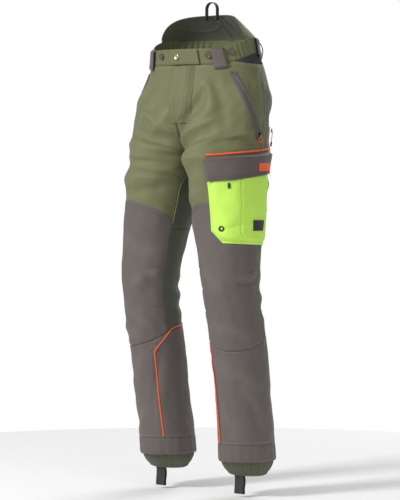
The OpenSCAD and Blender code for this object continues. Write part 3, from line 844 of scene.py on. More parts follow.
@dataclass
class Panel:
    """One cut piece of cloth on one side of the trousers.

    The edge functions give u over height and height over u. Each edge is tucked in by tuck_mm
    over the last edge_mm of cloth, so that the cloth between the seams stands a little proud.
    """

    name: str
    side: Side
    finish: ClothFinish
    low: Curve
    high: Curve
    start: Curve
    stop: Curve
    lift_mm: float = 0.0
    thick_mm: float = 2.0
    tuck_mm: tuple = (0.8, 0.8, 0.8, 0.8)
    edge_mm: float = 5.0
    step_mm: float = 3.2
    extra: Callable[[Array, Array], Array] | None = None

    def grid(self) -> tuple:
        """Lays the panel's grid between its four edges.

        Returns:
            u and z of each point.
        """
        round_once = np.linspace(0, 1, 60)
        low, high = float(np.min(self.low(round_once))), float(np.max(self.high(round_once)))
        heights = low + (high - low) * (np.linspace(-1, 0, 3) + 1)
        wide = float(np.max(self.stop(heights) - self.start(heights))) * ACROSS_MM
        n, m = max(12, int(wide / self.step_mm)), max(10, int((high - low) / self.step_mm))
        s = self.spread(n)[:, None]
        t = self.spread(m)[None, :]
        z = mix(low, high, t) + 0 * s
        for _ in range(SETTLING_STEPS):
            u = mix(self.start(z), self.stop(z), s)
            z = mix(self.low(u), self.high(u), t)
        return u, z

    @staticmethod
    def spread(n: int) -> Array:
        """Steps from 0 to 1 that are closer together at both ends.

        Args:
            n: how many steps.

        Returns:
            The n + 1 places.
        """
        t = np.linspace(0, 1, n + 1)
        return t - 0.18 * np.sin(2 * np.pi * t) / (2 * np.pi)

    def build(self) -> tuple:
        """Makes the panel.

        Returns:
            The piece and the grid of points of its outer face.
        """
        u, z = self.grid()
        flat = BODY.skin(self.side, u, z, 0)
        across = lengths(flat) / MM
        down = np.swapaxes(lengths(np.swapaxes(flat, 0, 1)), 0, 1) / MM
        ends = (across, across[-1:] - across, down, down[:, -1:] - down)
        tucked, wear = np.zeros_like(u), np.zeros_like(u)
        for away, tuck in zip(ends, self.tuck_mm):
            tucked += tuck * (1 - ease(away / self.edge_mm))
            wear = np.maximum(wear, np.exp(-((away - self.edge_mm) / 3.0) ** 2) * 0.6 * (tuck != 0))
        pucker = np.zeros_like(u)
        for away, along in zip(ends, (down, down, across, across)):
            pucker += 0.28 * np.sin(along * 0.55 + 3 * np.sin(along * 0.043)) * np.exp(-((away - 4) / 8.0) ** 2)
        bulge = drape(self.side, u, z) + (0 if self.extra is None else self.extra(u, z))
        d = self.lift_mm + bulge - tucked + pucker
        outer = BODY.skin(self.side, u, z, d)
        inner = BODY.skin(self.side, u, z, d - self.thick_mm)
        ridge = np.clip(np.abs(bulge) / 8, 0, 0.5)
        piece = slab(self.name, outer, inner, surface_uv(outer), np.clip(wear + ridge, 0, 1))
        DRESSER.dress(piece, self.finish)
        return piece, outer


def ribbon(
    name: str, side: Side, u: Array, z: Array, width_mm: float, low_mm: float, high_mm: float, across: int = 7,
    centre: Curve | None = None,
) -> tuple:
    """A narrow band laid on the draped cloth.

    Args:
        name: the piece's name.
        side: the side of the trousers that it lies on.
        u: u of the points of its middle line.
        z: heights of the same points.
        width_mm: how wide it is.
        low_mm: how far its back stands off the cloth.
        high_mm: how far its crown stands off the cloth.
        across: how many points it has across.
        centre: where its middle lies, over 0 to 1 along it, in widths.

    Returns:
        The piece and the grid of its outer face.
    """
    base = cloth(side, u, z, 0)
    normal = unit(cloth(side, u, z, 1) - base)
    along = unit(np.gradient(base, axis=0))
    sideways = unit(np.cross(normal, along))
    t = np.linspace(-0.5, 0.5, across)
    crown = 1 - np.abs(2 * t) ** 6
    shift = t[None, :] + (0 if centre is None else centre(np.linspace(0, 1, len(u)))[:, None])
    flat = base[:, None] + sideways[:, None] * (shift * width_mm * MM)[..., None]
    outer = flat + normal[:, None] * ((low_mm + (high_mm - low_mm) * (0.35 + 0.65 * crown)) * MM)[None, :, None]
    inner = flat + normal[:, None] * (low_mm * MM)
    return slab(name, outer, inner, surface_uv(outer)), outer


# --- Repeats by Geometry Nodes --------------------------------------------------------------


class Repeat:
    """A Geometry Nodes tree that sets one small shape along a line: stitches or zip teeth."""

    def __init__(self, name: str, box: bool) -> None:
        """Builds the tree.

        Args:
            name: the tree's name.
            box: True for square teeth, False for round stitches.
        """
        tree = bpy.data.node_groups.new(name, "GeometryNodeTree")
        face = tree.interface
        face.new_socket("Geometry", in_out="INPUT", socket_type="NodeSocketGeometry")
        self.sockets = {}
        for label, kind in (
            ("Spacing", "NodeSocketFloat"), ("Length", "NodeSocketFloat"), ("Width", "NodeSocketFloat"),
            ("Material", "NodeSocketMaterial"),
        ):
            self.sockets[label] = face.new_socket(label, in_out="INPUT", socket_type=kind).identifier
        face.new_socket("Geometry", in_out="OUTPUT", socket_type="NodeSocketGeometry")
        into, out = tree.nodes.new("NodeGroupInput"), tree.nodes.new("NodeGroupOutput")
        line = tree.nodes.new("GeometryNodeMeshToCurve")
        points = tree.nodes.new("GeometryNodeCurveToPoints")
        points.mode = "LENGTH"
        place = tree.nodes.new("GeometryNodeInstanceOnPoints")
        real = tree.nodes.new("GeometryNodeRealizeInstances")
        paint = tree.nodes.new("GeometryNodeSetMaterial")
        link(tree, into.outputs["Geometry"], line.inputs["Mesh"])
        link(tree, line.outputs["Curve"], points.inputs["Curve"])
        link(tree, into.outputs["Spacing"], points.inputs["Length"])
        link(tree, points.outputs["Points"], place.inputs["Points"])
        link(tree, points.outputs["Rotation"], place.inputs["Rotation"])
        if box:
            shape = tree.nodes.new("GeometryNodeMeshCube")
            size = tree.nodes.new("ShaderNodeCombineXYZ")
            for axis, label in (("X", "Width"), ("Y", "Width"), ("Z", "Length")):
                link(tree, into.outputs[label], size.inputs[axis])
            link(tree, size.outputs["Vector"], shape.inputs["Size"])
        else:
            shape = tree.nodes.new("GeometryNodeMeshCylinder")
            shape.inputs["Vertices"].default_value = 5
            link(tree, into.outputs["Width"], shape.inputs["Radius"])
            link(tree, into.outputs["Length"], shape.inputs["Depth"])
        link(tree, shape.outputs["Mesh"], place.inputs["Instance"])
        link(tree, place.outputs["Instances"], real.inputs["Geometry"])
        link(tree, real.outputs["Geometry"], paint.inputs["Geometry"])
        link(tree, into.outputs["Material"], paint.inputs["Material"])
        link(tree, paint.outputs["Geometry"], out.inputs["Geometry"])
        self.tree = tree

    def along(
        self, name: str, lines: Sequence[Array], spacing_mm: float, length_mm: float, width_mm: float,
        finish: ClothFinish | HardFinish,
    ) -> bpy.types.Object:
        """Sets the shape along some lines.

        Args:
            name: the piece's name.
            lines: arrays of points, in metres.
            spacing_mm: from one to the next.
            length_mm: each one's length along the line.
            width_mm: each one's radius or width.
            finish: what they are made of.

        Returns:
            A plain mesh of all of them.
        """
        points, edges = [], []
        for row in lines:
            start = len(points)
            points += [tuple(p) for p in np.asarray(row)]
            edges += [(start + i, start + i + 1) for i in range(len(row) - 1)]
        mesh = bpy.data.meshes.new(name + "_line")
        mesh.from_pydata(points, edges, [])
        guide = bpy.data.objects.new(name + "_line", mesh)
        bpy.context.scene.collection.objects.link(guide)
        modifier = guide.modifiers.new("repeat", "NODES")
        modifier.node_group = self.tree
        for label, value in (
            ("Spacing", spacing_mm * MM), ("Length", length_mm * MM), ("Width", width_mm * MM),
            ("Material", DRESSER.material(finish)),
        ):
            modifier[self.sockets[label]] = value
        bpy.context.view_layer.update()
        made = bpy.data.meshes.new_from_object(guide.evaluated_get(bpy.context.evaluated_depsgraph_get()))
        made.name = name
        piece = bpy.data.objects.new(name, made)
        bpy.context.scene.collection.objects.link(piece)
        bpy.data.objects.remove(guide)
        if not made.uv_layers:
            made.uv_layers.new(name="UVMap")
        return piece


STITCHES = Repeat("stitch_row", box=False)
TEETH = Repeat("zip_teeth", box=True)


def stitch(name: str, rows: Sequence[Array], finish: ClothFinish = THREAD) -> bpy.types.Object:
    """Topstitching along some rows.

    Args:
        name: the piece's name.
        rows: arrays of points, in metres.
        finish: the thread.

    Returns:
        The piece.
    """
    return STITCHES.along(name, rows, STITCH_SPACING_MM, STITCH_LENGTH_MM, STITCH_RADIUS_MM, finish)


# --- Sub-assemblies -------------------------------------------------------------------------


def finish_piece(piece: bpy.types.Object, *nodes: str, slot: str | None = None) -> bpy.types.Object:
    """Hides the CAD nodes that a piece replaces and logs its face count.

    Args:
        piece: the piece.
        nodes: the CAD nodes that it replaces.
        slot: its material slot; not used.

    Returns:
        The piece.
    """
    if nodes:
        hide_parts(*nodes)
    log.info("piece %s: %d faces", piece.name, len(piece.data.polygons))
    return piece


@dataclass
class StitchRows:
    """The rows of stitches, which gather as the panels are built."""

    sets: dict = field(default_factory=dict)

    def rows(self, key: str) -> list:
        """The rows of one set of stitches."""
        return self.sets.setdefault(key, [])


STITCHING = StitchRows()


@dataclass
class UpperLeg:
    """The front and seat cloth of one side, from the waistband to above the knee."""

    side: Side
    seat_low_mm: float = -450

    def front(self) -> None:
        """Builds the olive front cloth with its seams."""
        s = self.side
        tag = s.tag
        panel = Panel(
            f"front_cloth_{tag}", s, OLIVE, low=lambda u: CUT.overlay_top(u) - 8, high=CUT.panel_top,
            start=CUT.seam_in, stop=CUT.seam_out, lift_mm=1.0, tuck_mm=(1.0, 0.9, 0.0, 0.5))
        piece, outer = panel.build()
        hip_bend(piece, s)
        finish_piece(piece, f"yoke_{tag}", f"hip_cloth_{tag}", f"thigh_front_{tag}", slot="olive")
        z = np.linspace(-60, -374, 150)
        rows = STITCHING.rows(f"hip_{tag}")
        rows.append(cloth(s, CUT.seam_out(z) - 0.010, z, 1.2))
        rows.append(cloth(s, CUT.seam_out(z) - 0.022, z, 1.3))
        z = np.linspace(-190, -400, 120)
        rows.append(cloth(s, CUT.seam_in(z) + 0.010, z, 1.2))
        z = np.linspace(-286, -436, 80)
        path = cloth(s, CUT.seam_in(z) - 0.001, z, 1.0)
        cord = DRESSER.dress(tube(f"inner_seam_{tag}", path, 0.9 * MM, sides=6), PALE)
        hip_bend(cord, s)
        finish_piece(cord)
        z = np.linspace(-54, -262, 100)
        if s is Side.RIGHT:
            rows.append(cloth(s, np.full(100, 0.012), z, 1.2))

    def seat(self) -> None:
        """Builds the dark stretch cloth of the seat and the back of the thigh."""
        s = self.side
        tag = s.tag
        panel = Panel(
            f"seat_cloth_{tag}", s, MOSS, low=lambda u: self.seat_low_mm + 0 * u, high=CUT.panel_top,
            start=lambda z: CUT.seam_out(z) - 0.012,
            stop=lambda z: 0.9985 + (CUT.seam_in(z) - 0.0015) * 1.15, lift_mm=0.0, tuck_mm=(0.5, 0.8, 0.2, 0.5))
        piece, outer = panel.build()
        hip_bend(piece, s)
        finish_piece(piece, f"seat_{tag}", f"thigh_back_{tag}", slot="dark_olive")
        z = np.linspace(-30, -262, 110)
        STITCHING.rows(f"hip_{tag}").append(cloth(s, np.full(110, 0.986), z, 0.4))
        u = np.linspace(0.575, 0.985, 120)
        STITCHING.rows(f"hip_{tag}").append(cloth(s, u, np.full(120, -196.0) - 26 * (u - 0.575) / 0.41, 0.5))


@dataclass
class Knee:
    """The knee overlay and the cloth behind the knee of one side."""

    side: Side
    top_mm: float = -450

    def overlay(self) -> None:
        """Builds the taupe overlay over the knee."""
        s, tag = self.side, self.side.tag

        def darts(u: Array, z: Array) -> Array:
            """Short darts that shape the knee on the inner and outer side."""
            made = np.zeros_like(u)
            for z0 in (-548, -596, -650):
                inner = hump(z + 30 * (u - 0.1), z0, 3.2) * ease((0.17 - u) / 0.05)
                outer = hump(z - 26 * (u - 0.5), z0, 3.2) * ease((u - 0.44) / 0.05)
                made -= 1.9 * (inner + outer)
            return made

        panel = Panel(
            f"knee_overlay_cloth_{tag}", s, TAUPE, low=lambda u: CUT.knee_seam(u) + 0.2, high=CUT.overlay_top,
            start=lambda z: 0.058 + 0 * z, stop=lambda z: 0.54 + 0 * z, lift_mm=2.0,
            tuck_mm=(0.9, 0.9, 1.9, 0.7), extra=darts)
        piece, outer = panel.build()
        knee_bend(piece, s)
        finish_piece(piece, f"knee_overlay_{tag}", slot="taupe")
        rows = STITCHING.rows(f"knee_taupe_{tag}")
        u = np.linspace(0.066, 0.532, 150)
        rows.append(cloth(s, u, CUT.overlay_top(u) - 5, 2.2))
        rows.append(cloth(s, u, CUT.overlay_top(u) - 11, 2.3))
        rows.append(cloth(s, u, CUT.knee_seam(u) + 6, 2.2))
        for edge, step in ((0.066, 1), (0.532, -1)):
            z = np.linspace(float(CUT.overlay_top(edge)) - 5, float(CUT.knee_seam(edge)) + 6, 130)
            rows.append(cloth(s, np.full(130, edge), z, 2.2))

    def back(self) -> None:
        """Builds the dark stretch cloth behind the knee."""
        s, tag = self.side, self.side.tag
        panel = Panel(
            f"knee_back_cloth_{tag}", s, MOSS, low=lambda u: self.low(u), high=lambda u: self.top_mm + 0 * u,
            start=lambda z: 0.528 + 0 * z, stop=lambda z: 1.068 + 0 * z, lift_mm=0.0, tuck_mm=(0.1, 0.1, 0.7, 0.5))
        piece, outer = panel.build()
        knee_bend(piece, s)
        finish_piece(piece, f"knee_back_{tag}", slot="dark_olive")
        u = np.linspace(0.55, 1.05, 130)
        STITCHING.rows(f"knee_{tag}").append(cloth(s, u, np.full(130, self.top_mm - 4), 0.4))

    @staticmethod
    def low(u: Array) -> Array:
        """Lower seam of the cloth behind the knee."""
        outer, inner = CUT.knee_seam(np.full_like(u, 0.54)), CUT.knee_seam(np.full_like(u, 0.06))
        back = mix(outer, -690.0, ease((u - 0.54) / 0.25))
        return np.where(u < 0.8, back, mix(-690.0, inner, ease((u - 0.85) / 0.2)))


@dataclass
class LowerLeg:
    """The shin and calf cloth, the piping and the hem of one side."""

    side: Side
    hem_top_mm: float = -986
    hem_mm: float = -1030
    piping_mm: float = 1.5

    def seam_u(self, z: Array) -> Array:
        """The seam down the shin, over height."""
        low, high = (0.192, 0.160) if self.side is Side.LEFT else (0.142, 0.148)
        return mix(low, high, np.clip((z - self.hem_top_mm) / 236, 0, 1))

    @staticmethod
    def top(u: Array) -> Array:
        """The seam under the knee all the way round."""
        wrapped = np.asarray(u, float) % 1.0
        return np.where(
            (wrapped > 0.06) & (wrapped < 0.54), CUT.knee_seam(wrapped),
            Knee.low(np.where(wrapped <= 0.06, wrapped + 1, wrapped)))

    def panels(self) -> None:
        """Builds the front and the back cloth."""
        s, tag = self.side, self.side.tag
        front = Panel(
            f"shin_cloth_{tag}", s, TAUPE, low=lambda u: self.hem_top_mm + 0 * u, high=self.top,
            start=self.seam_u, stop=lambda z: 0.565 + 0 * z, lift_mm=0.6, tuck_mm=(1.2, 0.9, 0.6, 1.6))
        back = Panel(
            f"calf_cloth_{tag}", s, TAUPE, low=lambda u: self.hem_top_mm + 0 * u, high=self.top,
            start=lambda z: 0.553 + 0 * z, stop=lambda z: 1 + self.seam_u(z) + 0.004, lift_mm=0.4,
            tuck_mm=(0.4, 0.8, 0.6, 1.0))
        for panel, node in ((front, "shin_panel"), (back, "calf_panel")):
            piece, outer = panel.build()
            knee_bend(piece, s)
            finish_piece(piece, f"{node}_{tag}", slot="taupe")
        rows = STITCHING.rows(f"knee_taupe_{tag}")
        z = np.linspace(-760, self.hem_top_mm + 6, 130)
        rows.append(cloth(s, self.seam_u(z) + 0.016, z, 1.2))
        rows.append(cloth(s, np.full(130, 0.554), z + 20, 1.2))
        u = np.linspace(0.16, 0.55, 130)
        rows.append(cloth(s, u, self.top(u) - 6, 1.2))

    def piping(self) -> None:
        """Builds the orange piping, under the knee seam on the inner side and down the shin."""
        s, tag = self.side, self.side.tag
        z = np.linspace(-762, self.hem_top_mm + 3, 90)
        lower = np.stack([1 + self.seam_u(z), z], -1)
        share = np.linspace(0, 1, 60)
        u = mix(0.90, lower[0, 0], share)
        level = np.interp(u, [0.90, 1.0, 1.04, lower[0, 0]], [-697, -701, -709, -762])
        route = np.concatenate([np.stack([u, level], -1), lower[1:]])
        for _ in range(5):
            route[1:-1] = (route[:-2] + 2 * route[1:-1] + route[2:]) / 4
        path = cloth(s, route[:, 0], route[:, 1], 1.7)
        piece = DRESSER.dress(tube(f"shin_piping_cord_{tag}", path, self.piping_mm * MM * 1.1, sides=10), ORANGE)
        knee_bend(piece, s)
        finish_piece(piece, f"shin_piping_{tag}", slot="orange")

    def hem(self) -> None:
        """Builds the turned hem band."""
        s, tag = self.side, self.side.tag
        u = np.linspace(0, 1, 200, endpoint=False)[:, None]
        t = np.linspace(0, 1, 18)[None, :]
        z = mix(self.hem_mm, self.hem_top_mm - 0.4, t) + 0 * u
        roll = -1.4 * (1 - ease(t / 0.12)) - 1.1 * (1 - ease((1 - t) / 0.16)) + 0 * u
        waves = 0.8 * np.sin(u * 2 * np.pi * 7 + s.value) * ease((1 - t) * 2) + 0.5 * np.sin(u * 2 * np.pi * 19)
        outer = cloth(s, u + 0 * z, z, 1.0 + roll + waves)
        inner = cloth(s, u + 0 * z, z, roll + waves - 2.4)
        piece = DRESSER.dress(
            slab(f"hem_band_cloth_{tag}", outer, inner, surface_uv(outer), loop=True), TAUPE)
        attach(piece, f"shin_{tag}")
        finish_piece(piece, f"hem_band_{tag}", slot="taupe")
        ring = np.linspace(0, 1, 241)
        wave = lambda v: 0.5 * np.sin(v * 2 * np.pi * 19) + 0.8 * np.sin(v * 2 * np.pi * 7 + s.value)
        STITCHING.rows(f"hem_{tag}").append(cloth(s, ring, np.full(241, -1022.0), 1.0 + wave(ring)))
        STITCHING.rows(f"hem_{tag}").append(cloth(s, ring, np.full(241, -994.0), 0.8 + wave(ring) * 0.5))


@dataclass
class Gaiter:
    """The gathered cuff below the hem, with its elastic edge and the boot strap."""

    side: Side
    low_mm: float = -1068
    high_mm: float = -1016
    gathers: int = 46
    strap_w_mm: float = 28
    strap_l_mm: float = 50
    strap_t_mm: float = 1.8
    strap_gap_mm: float = 5

    def ring(self, s: Array, t: Array, d: Array) -> Array:
        """Points of the cuff: s goes round it, t up it and d outwards, in metres."""
        z = mix(self.low_mm, self.high_mm, t)
        a = mix(42, 60, np.maximum(t, 0) ** 0.7) + d
        b = mix(32, 70, np.maximum(t, 0) ** 0.7) + d
        x = BODY.curve(BODY.leg_x, z) - a * np.cos(2 * np.pi * s)
        y = BODY.curve(BODY.mid_y, z) - b * np.sin(2 * np.pi * s)
        return np.stack(np.broadcast_arrays(self.side.value * x, y, z), -1) * MM

    def cuff(self) -> None:
        """Builds the gathered cloth and its elastic edge."""
        tag = self.side.tag
        s = np.linspace(0, 1, 460, endpoint=False)[:, None]
        t = np.linspace(0, 1, 26)[None, :]
        phase = self.gathers * s + 0.5 * np.sin(2 * np.pi * 5 * s) + 0.35 * np.sin(9 * t + 14 * s)
        fold = np.abs(np.sin(np.pi * phase)) ** 0.7
        deep = 3.6 * ease((t + 0.15) / 0.35) * (0.55 + 0.45 * np.sin(2 * np.pi * 11 * s) ** 2)
        band = 1.6 * hump(t, 0.07, 0.06) - 1.2 * hump(t, 0.17, 0.03)
        puff = 9.0 * np.sin(np.pi * np.clip(t * 0.92 + 0.06, 0, 1)) ** 0.8
        d = (fold - 0.8) * deep + band + puff
        outer = self.ring(s, t, d)
        inner = self.ring(s, t, d - 2)
        piece = DRESSER.dress(slab(f"gaiter_cloth_{tag}", outer, inner, surface_uv(outer), loop=True), MOSS)
        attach(piece, f"shin_{tag}")
        finish_piece(piece, f"gaiter_{tag}", slot="dark_olive")

    def strap(self) -> None:
        """Builds the doubled webbing that goes under the boot."""
        tag = self.side.tag
        radius = self.strap_gap_mm / 2 + self.strap_t_mm
        drop = self.strap_l_mm - 2 * radius
        pivot = np.array([130.3 * self.side.value, -12.9, -1068.5])
        turn = np.linspace(0, np.pi, 12)
        across = np.linspace(-0.5, 0.5, 15)
        down = np.linspace(0, 1, 22)[1:-1]
        layers = []
        for r in (radius, radius - self.strap_t_mm):
            top = np.stack([r * np.cos(turn), r * np.sin(turn)], -1)
            low = np.stack([-r * np.cos(turn), -drop - r * np.sin(turn)], -1)
            left = np.stack([np.full(20, -r), -drop * down], -1)
            right = np.stack([np.full(20, r), -drop * (1 - down)], -1)
            loop = np.concatenate([top, left, low, right])
            sway = 1.3 * np.sin(np.pi * np.clip(-loop[:, 1] / drop, 0, 1) * 1.6)
            grid = np.zeros((len(loop), 15, 3))
            grid[..., 0] = pivot[0] + across[None, :] * self.strap_w_mm * (1 - 0.02 * np.cos(loop[:, 1:2] / 5))
            grid[..., 1] = pivot[1] + (loop[:, 0] + sway)[:, None] + 0.5 * np.cos(across[None, :] * 6)
            grid[..., 2] = pivot[2] + loop[:, 1][:, None]
            layers.append(grid * MM)
        outer, inner = layers
        piece = DRESSER.dress(
            slab(f"boot_strap_webbing_{tag}", outer, inner, surface_uv(outer), loop=True), BLACK)
        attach(piece, f"boot_strap_{tag}")
        finish_piece(piece, f"boot_strap_{tag}", slot="black_webbing")


@dataclass
class Waist:
    """The waistband, the raised kidney panel and what is sewn to them."""

    kidney_mm: float = 62
    lean_mm: float = 70
    kidney_half: float = 0.52
    loop_mm: float = 20
    loop_places: tuple = (0.25, 0.62, 1.0, 1.38, 1.75)
    buttons: tuple = ((Side.LEFT, 0.19), (Side.LEFT, 0.335), (Side.RIGHT, 0.283), (Side.RIGHT, 0.13))

    @staticmethod
    def gathered(w: Array) -> Array:
        """How much the elastic gathers the band, from 0 to 1."""
        v = w - 2 * np.floor(w / 2)
        u = np.where(v <= 1, v, 2 - v)
        return ease((u - 0.30) / 0.08) * ease((0.92 - u) / 0.08)

    def ruching(self, w: Array, t: Array) -> Array:
        """Ridges of the gathered band, in millimetres."""
        soft = np.sin(w * 150 + 2.2 * t + np.sin(w * 31)) * np.sin(np.pi * np.clip(t, 0, 1)) ** 0.5
        return 1.1 * self.gathered(w) * soft + 0.35 * np.sin(w * 23) * np.sin(np.pi * t)

    def band(self) -> None:
        """Builds the waistband."""
        w = np.linspace(0, 2, 520, endpoint=False)[:, None]
        t = np.linspace(0, 1, 18)[None, :]
        low, high = CUT.band_low(w), CUT.band_top(w)
        roll = -1.2 * (1 - ease(t / 0.1)) - 1.2 * (1 - ease((1 - t) / 0.1))
        d = roll + self.ruching(w, t)
        z = mix(low, high, t)
        outer, inner = BODY.waist(w, z, d), BODY.waist(w, z, d - 3.2)
        piece = DRESSER.dress(slab("waistband_cloth", outer, inner, surface_uv(outer), loop=True), OLIVE)
        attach(piece, "waist")
        finish_piece(piece, "waistband", slot="olive")
        w = np.linspace(0.005, 1.995, 700)
        for share in (0.10, 0.90):
            z = mix(CUT.band_low(w), CUT.band_top(w), share)
            STITCHING.rows("waist").append(BODY.waist(w, z, self.ruching(w, share) - 0.1))

    def kidney_point(self, s: Array, t: Array, d: Array) -> Array:
        """Points of the kidney panel, in metres: s across it, t up it and d outwards."""
        s, t, d = np.broadcast_arrays(np.asarray(s, float), np.asarray(t, float), np.asarray(d, float))
        w = 1 + self.kidney_half * (2 * s - 1)
        height = self.kidney_mm * np.maximum(1 - np.abs(2 * s - 1) ** 3, 0) ** 0.8
        p = BODY.waist(w, CUT.band_top(w) - 1.0 + height * t, d)
        k = height / self.kidney_mm * t
        p[..., 0] *= 1 - 0.22 * k
        p[..., 1] -= self.lean_mm * k ** 1.3 * MM
        return p

    def kidney(self) -> None:
        """Builds the kidney panel, its lining, the fold strip and the elastic arc."""
        s = np.linspace(0.02, 0.98, 170)[:, None]
        t = np.linspace(0, 1, 34)[None, :]
        wave = 0.7 * np.sin(s * 26 + 2 * t) * t + 0.5 * np.sin(s * 61) * t
        edge = -0.5 * (1 - ease((1 - t) / 0.1))
        outer = self.kidney_point(s, t, wave + edge)
        middle = self.kidney_point(s, t, wave + edge - 1.2)
        piece = DRESSER.dress(slab("kidney_panel_cloth", outer, middle, surface_uv(outer)), OLIVE)
        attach(piece, "waist")
        finish_piece(piece, "kidney_panel", slot="olive")
        fold = 1.6 * hump(s, 0.5, 0.02) - 0.8 * hump(s, 0.475, 0.006) - 0.8 * hump(s, 0.525, 0.006)
        arc = 1.1 * hump(np.hypot((s - 0.66) * 2.6, (t - 0.85)), 0.45, 0.035)
        lined = self.kidney_point(s, t, wave + edge - 1.7)
        inside = self.kidney_point(s, t, wave + edge - 2.9 - fold - arc)
        piece = DRESSER.dress(slab("kidney_lining_cloth", lined, inside, surface_uv(inside)), LINING)
        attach(piece, "waist")
        finish_piece(piece, "kidney_lining", slot="lining")
        s = np.linspace(0.05, 0.95, 220)
        STITCHING.rows("waist").append(self.kidney_point(s, 0.93, 0.1 + 0.6 * np.sin(s * 26)))
        STITCHING.rows("waist").append(self.kidney_point(s, 0.93, -3.2))

    def hanging_loop(self) -> None:
        """Builds the webbing loop on the kidney panel."""
        top = self.kidney_point(np.array(0.5), np.array(1.0), np.array(-2.6)) / MM
        turn = np.linspace(0, np.pi, 26)
        outline = [(17.5, y) for y in np.linspace(-5, 23, 12)[:-1]]
        outline += [(17.5 * math.cos(a), 23 + 17.5 * math.sin(a)) for a in turn]
        outline += [(-17.5, y) for y in np.linspace(23, -5, 12)[1:]]
        path = np.array(outline)
        along = unit(np.gradient(path, axis=0))
        normal = np.stack([along[:, 1], -along[:, 0]], -1)
        across = np.linspace(-0.5, 0.5, 9)
        layers = []
        for out in (0.8, -0.8):
            flat = path + normal * out
            grid = np.zeros((len(path), 9, 3))
            grid[..., 0] = flat[:, :1]
            grid[..., 1] = top[1] - 8 + across[None, :] * 11
            grid[..., 2] = top[2] - 8 + flat[:, 1:]
            layers.append(grid * MM)
        piece = DRESSER.dress(slab("hanging_loop_webbing", layers[0], layers[1], surface_uv(layers[0])), BLACK)
        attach(piece, "waist")
        finish_piece(piece, "hanging_loop", slot="black_webbing")

    def stretch(self) -> None:
        """Builds the ribbed stretch wedges under the band."""
        made = []
        for side in Side:
            u = np.linspace(11 / 32 + 0.004, 27 / 32 - 0.004, 260)[:, None]
            t = np.linspace(0, 1, 14)[None, :]
            z = mix(CUT.panel_top(u) + 0.2, CUT.band_low(u) - 0.3, t)
            rib = 0.7 * np.sin(u * 2 * np.pi * 95)
            outer = BODY.skin(side, u + 0 * z, z, rib)
            inner = BODY.skin(side, u + 0 * z, z, rib - 2)
            made.append(DRESSER.dress(slab(f"stretch_{side.tag}", outer, inner, surface_uv(outer)), NAVY))
        piece = joined("stretch_wedges", made)
        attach(piece, "waist")
        finish_piece(piece, "stretch_panels", slot="navy")

    def loops(self) -> None:
        """Builds the five belt loops with their bar tacks."""
        made, tacks = [], []
        half = self.loop_mm / 2 / 260
        t = np.linspace(0, 1, 40)[None, :]
        s = np.linspace(0, 1, 9)[:, None]
        for w in self.loop_places:
            q = mix(w - half, w + half, s)
            rise = 5.0 * ease(np.minimum(t, 1 - t) * 9)
            z = mix(CUT.band_low(q) - 13, CUT.band_top(q) - 0.5, t)
            edge = -0.5 * np.abs(2 * s - 1) ** 4
            outer = BODY.waist(q + 0 * t, z, 3.0 + rise + edge)
            inner = BODY.waist(q + 0 * t, z, 0.6 + rise + 0 * s)
            made.append(DRESSER.dress(slab(f"loop_{w}", outer, inner, surface_uv(outer)), TAUPE))
            for share in (0.03, 0.97):
                row = np.linspace(w - half * 0.8, w + half * 0.8, 9)
                lift = 3.2 + 5.0 * float(ease(np.array(min(share, 1 - share) * 9)))
                tacks.append(BODY.waist(row, mix(CUT.band_low(row) - 13, CUT.band_top(row) - 0.5, share), lift))
        piece = joined("belt_loop_straps", made)
        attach(piece, "waist")
        finish_piece(piece, "belt_loops", slot="taupe")
        piece = STITCHES.along("belt_loop_tacks", tacks, 1.1, 1.0, 0.5, THREAD)
        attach(piece, "waist")
        finish_piece(piece)

    def ties(self) -> None:
        """Builds the webbing tail and the two elastic cords at the sides."""
        w = np.linspace(-0.52, -0.34, 60)[:, None]
        t = np.linspace(0, 1, 7)[None, :]
        z = CUT.band_top(w) - 24 + 12 * t
        wave = 0.4 * np.sin(w * 90)
        outer = BODY.waist(w + 0 * t, z, 2.8 + wave - 0.3 * np.abs(2 * t - 1) ** 4)
        inner = BODY.waist(w + 0 * t, z, 1.3 + wave + 0 * t)
        tail = DRESSER.dress(slab("side_tail_webbing", outer, inner, surface_uv(outer)), BLACK)
        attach(tail, "waist")
        finish_piece(tail, "side_ties", slot="black_webbing")
        t = np.linspace(0, 1, 30)
        for side, w0, top, drop in ((Side.LEFT, 0.72, 4, 50), (Side.RIGHT, -0.44, 16, 56)):
            w = np.full(30, w0)
            path = BODY.waist(w, CUT.band_top(w) - top - drop * t, 2.6 + 11 * np.sin(np.pi * t))
            cord = DRESSER.dress(tube(f"side_cord_{side.tag}", path, 1.2 * MM, sides=12), BLACK)
            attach(cord, "waist")
            finish_piece(cord, "side_ties", slot="black_webbing")

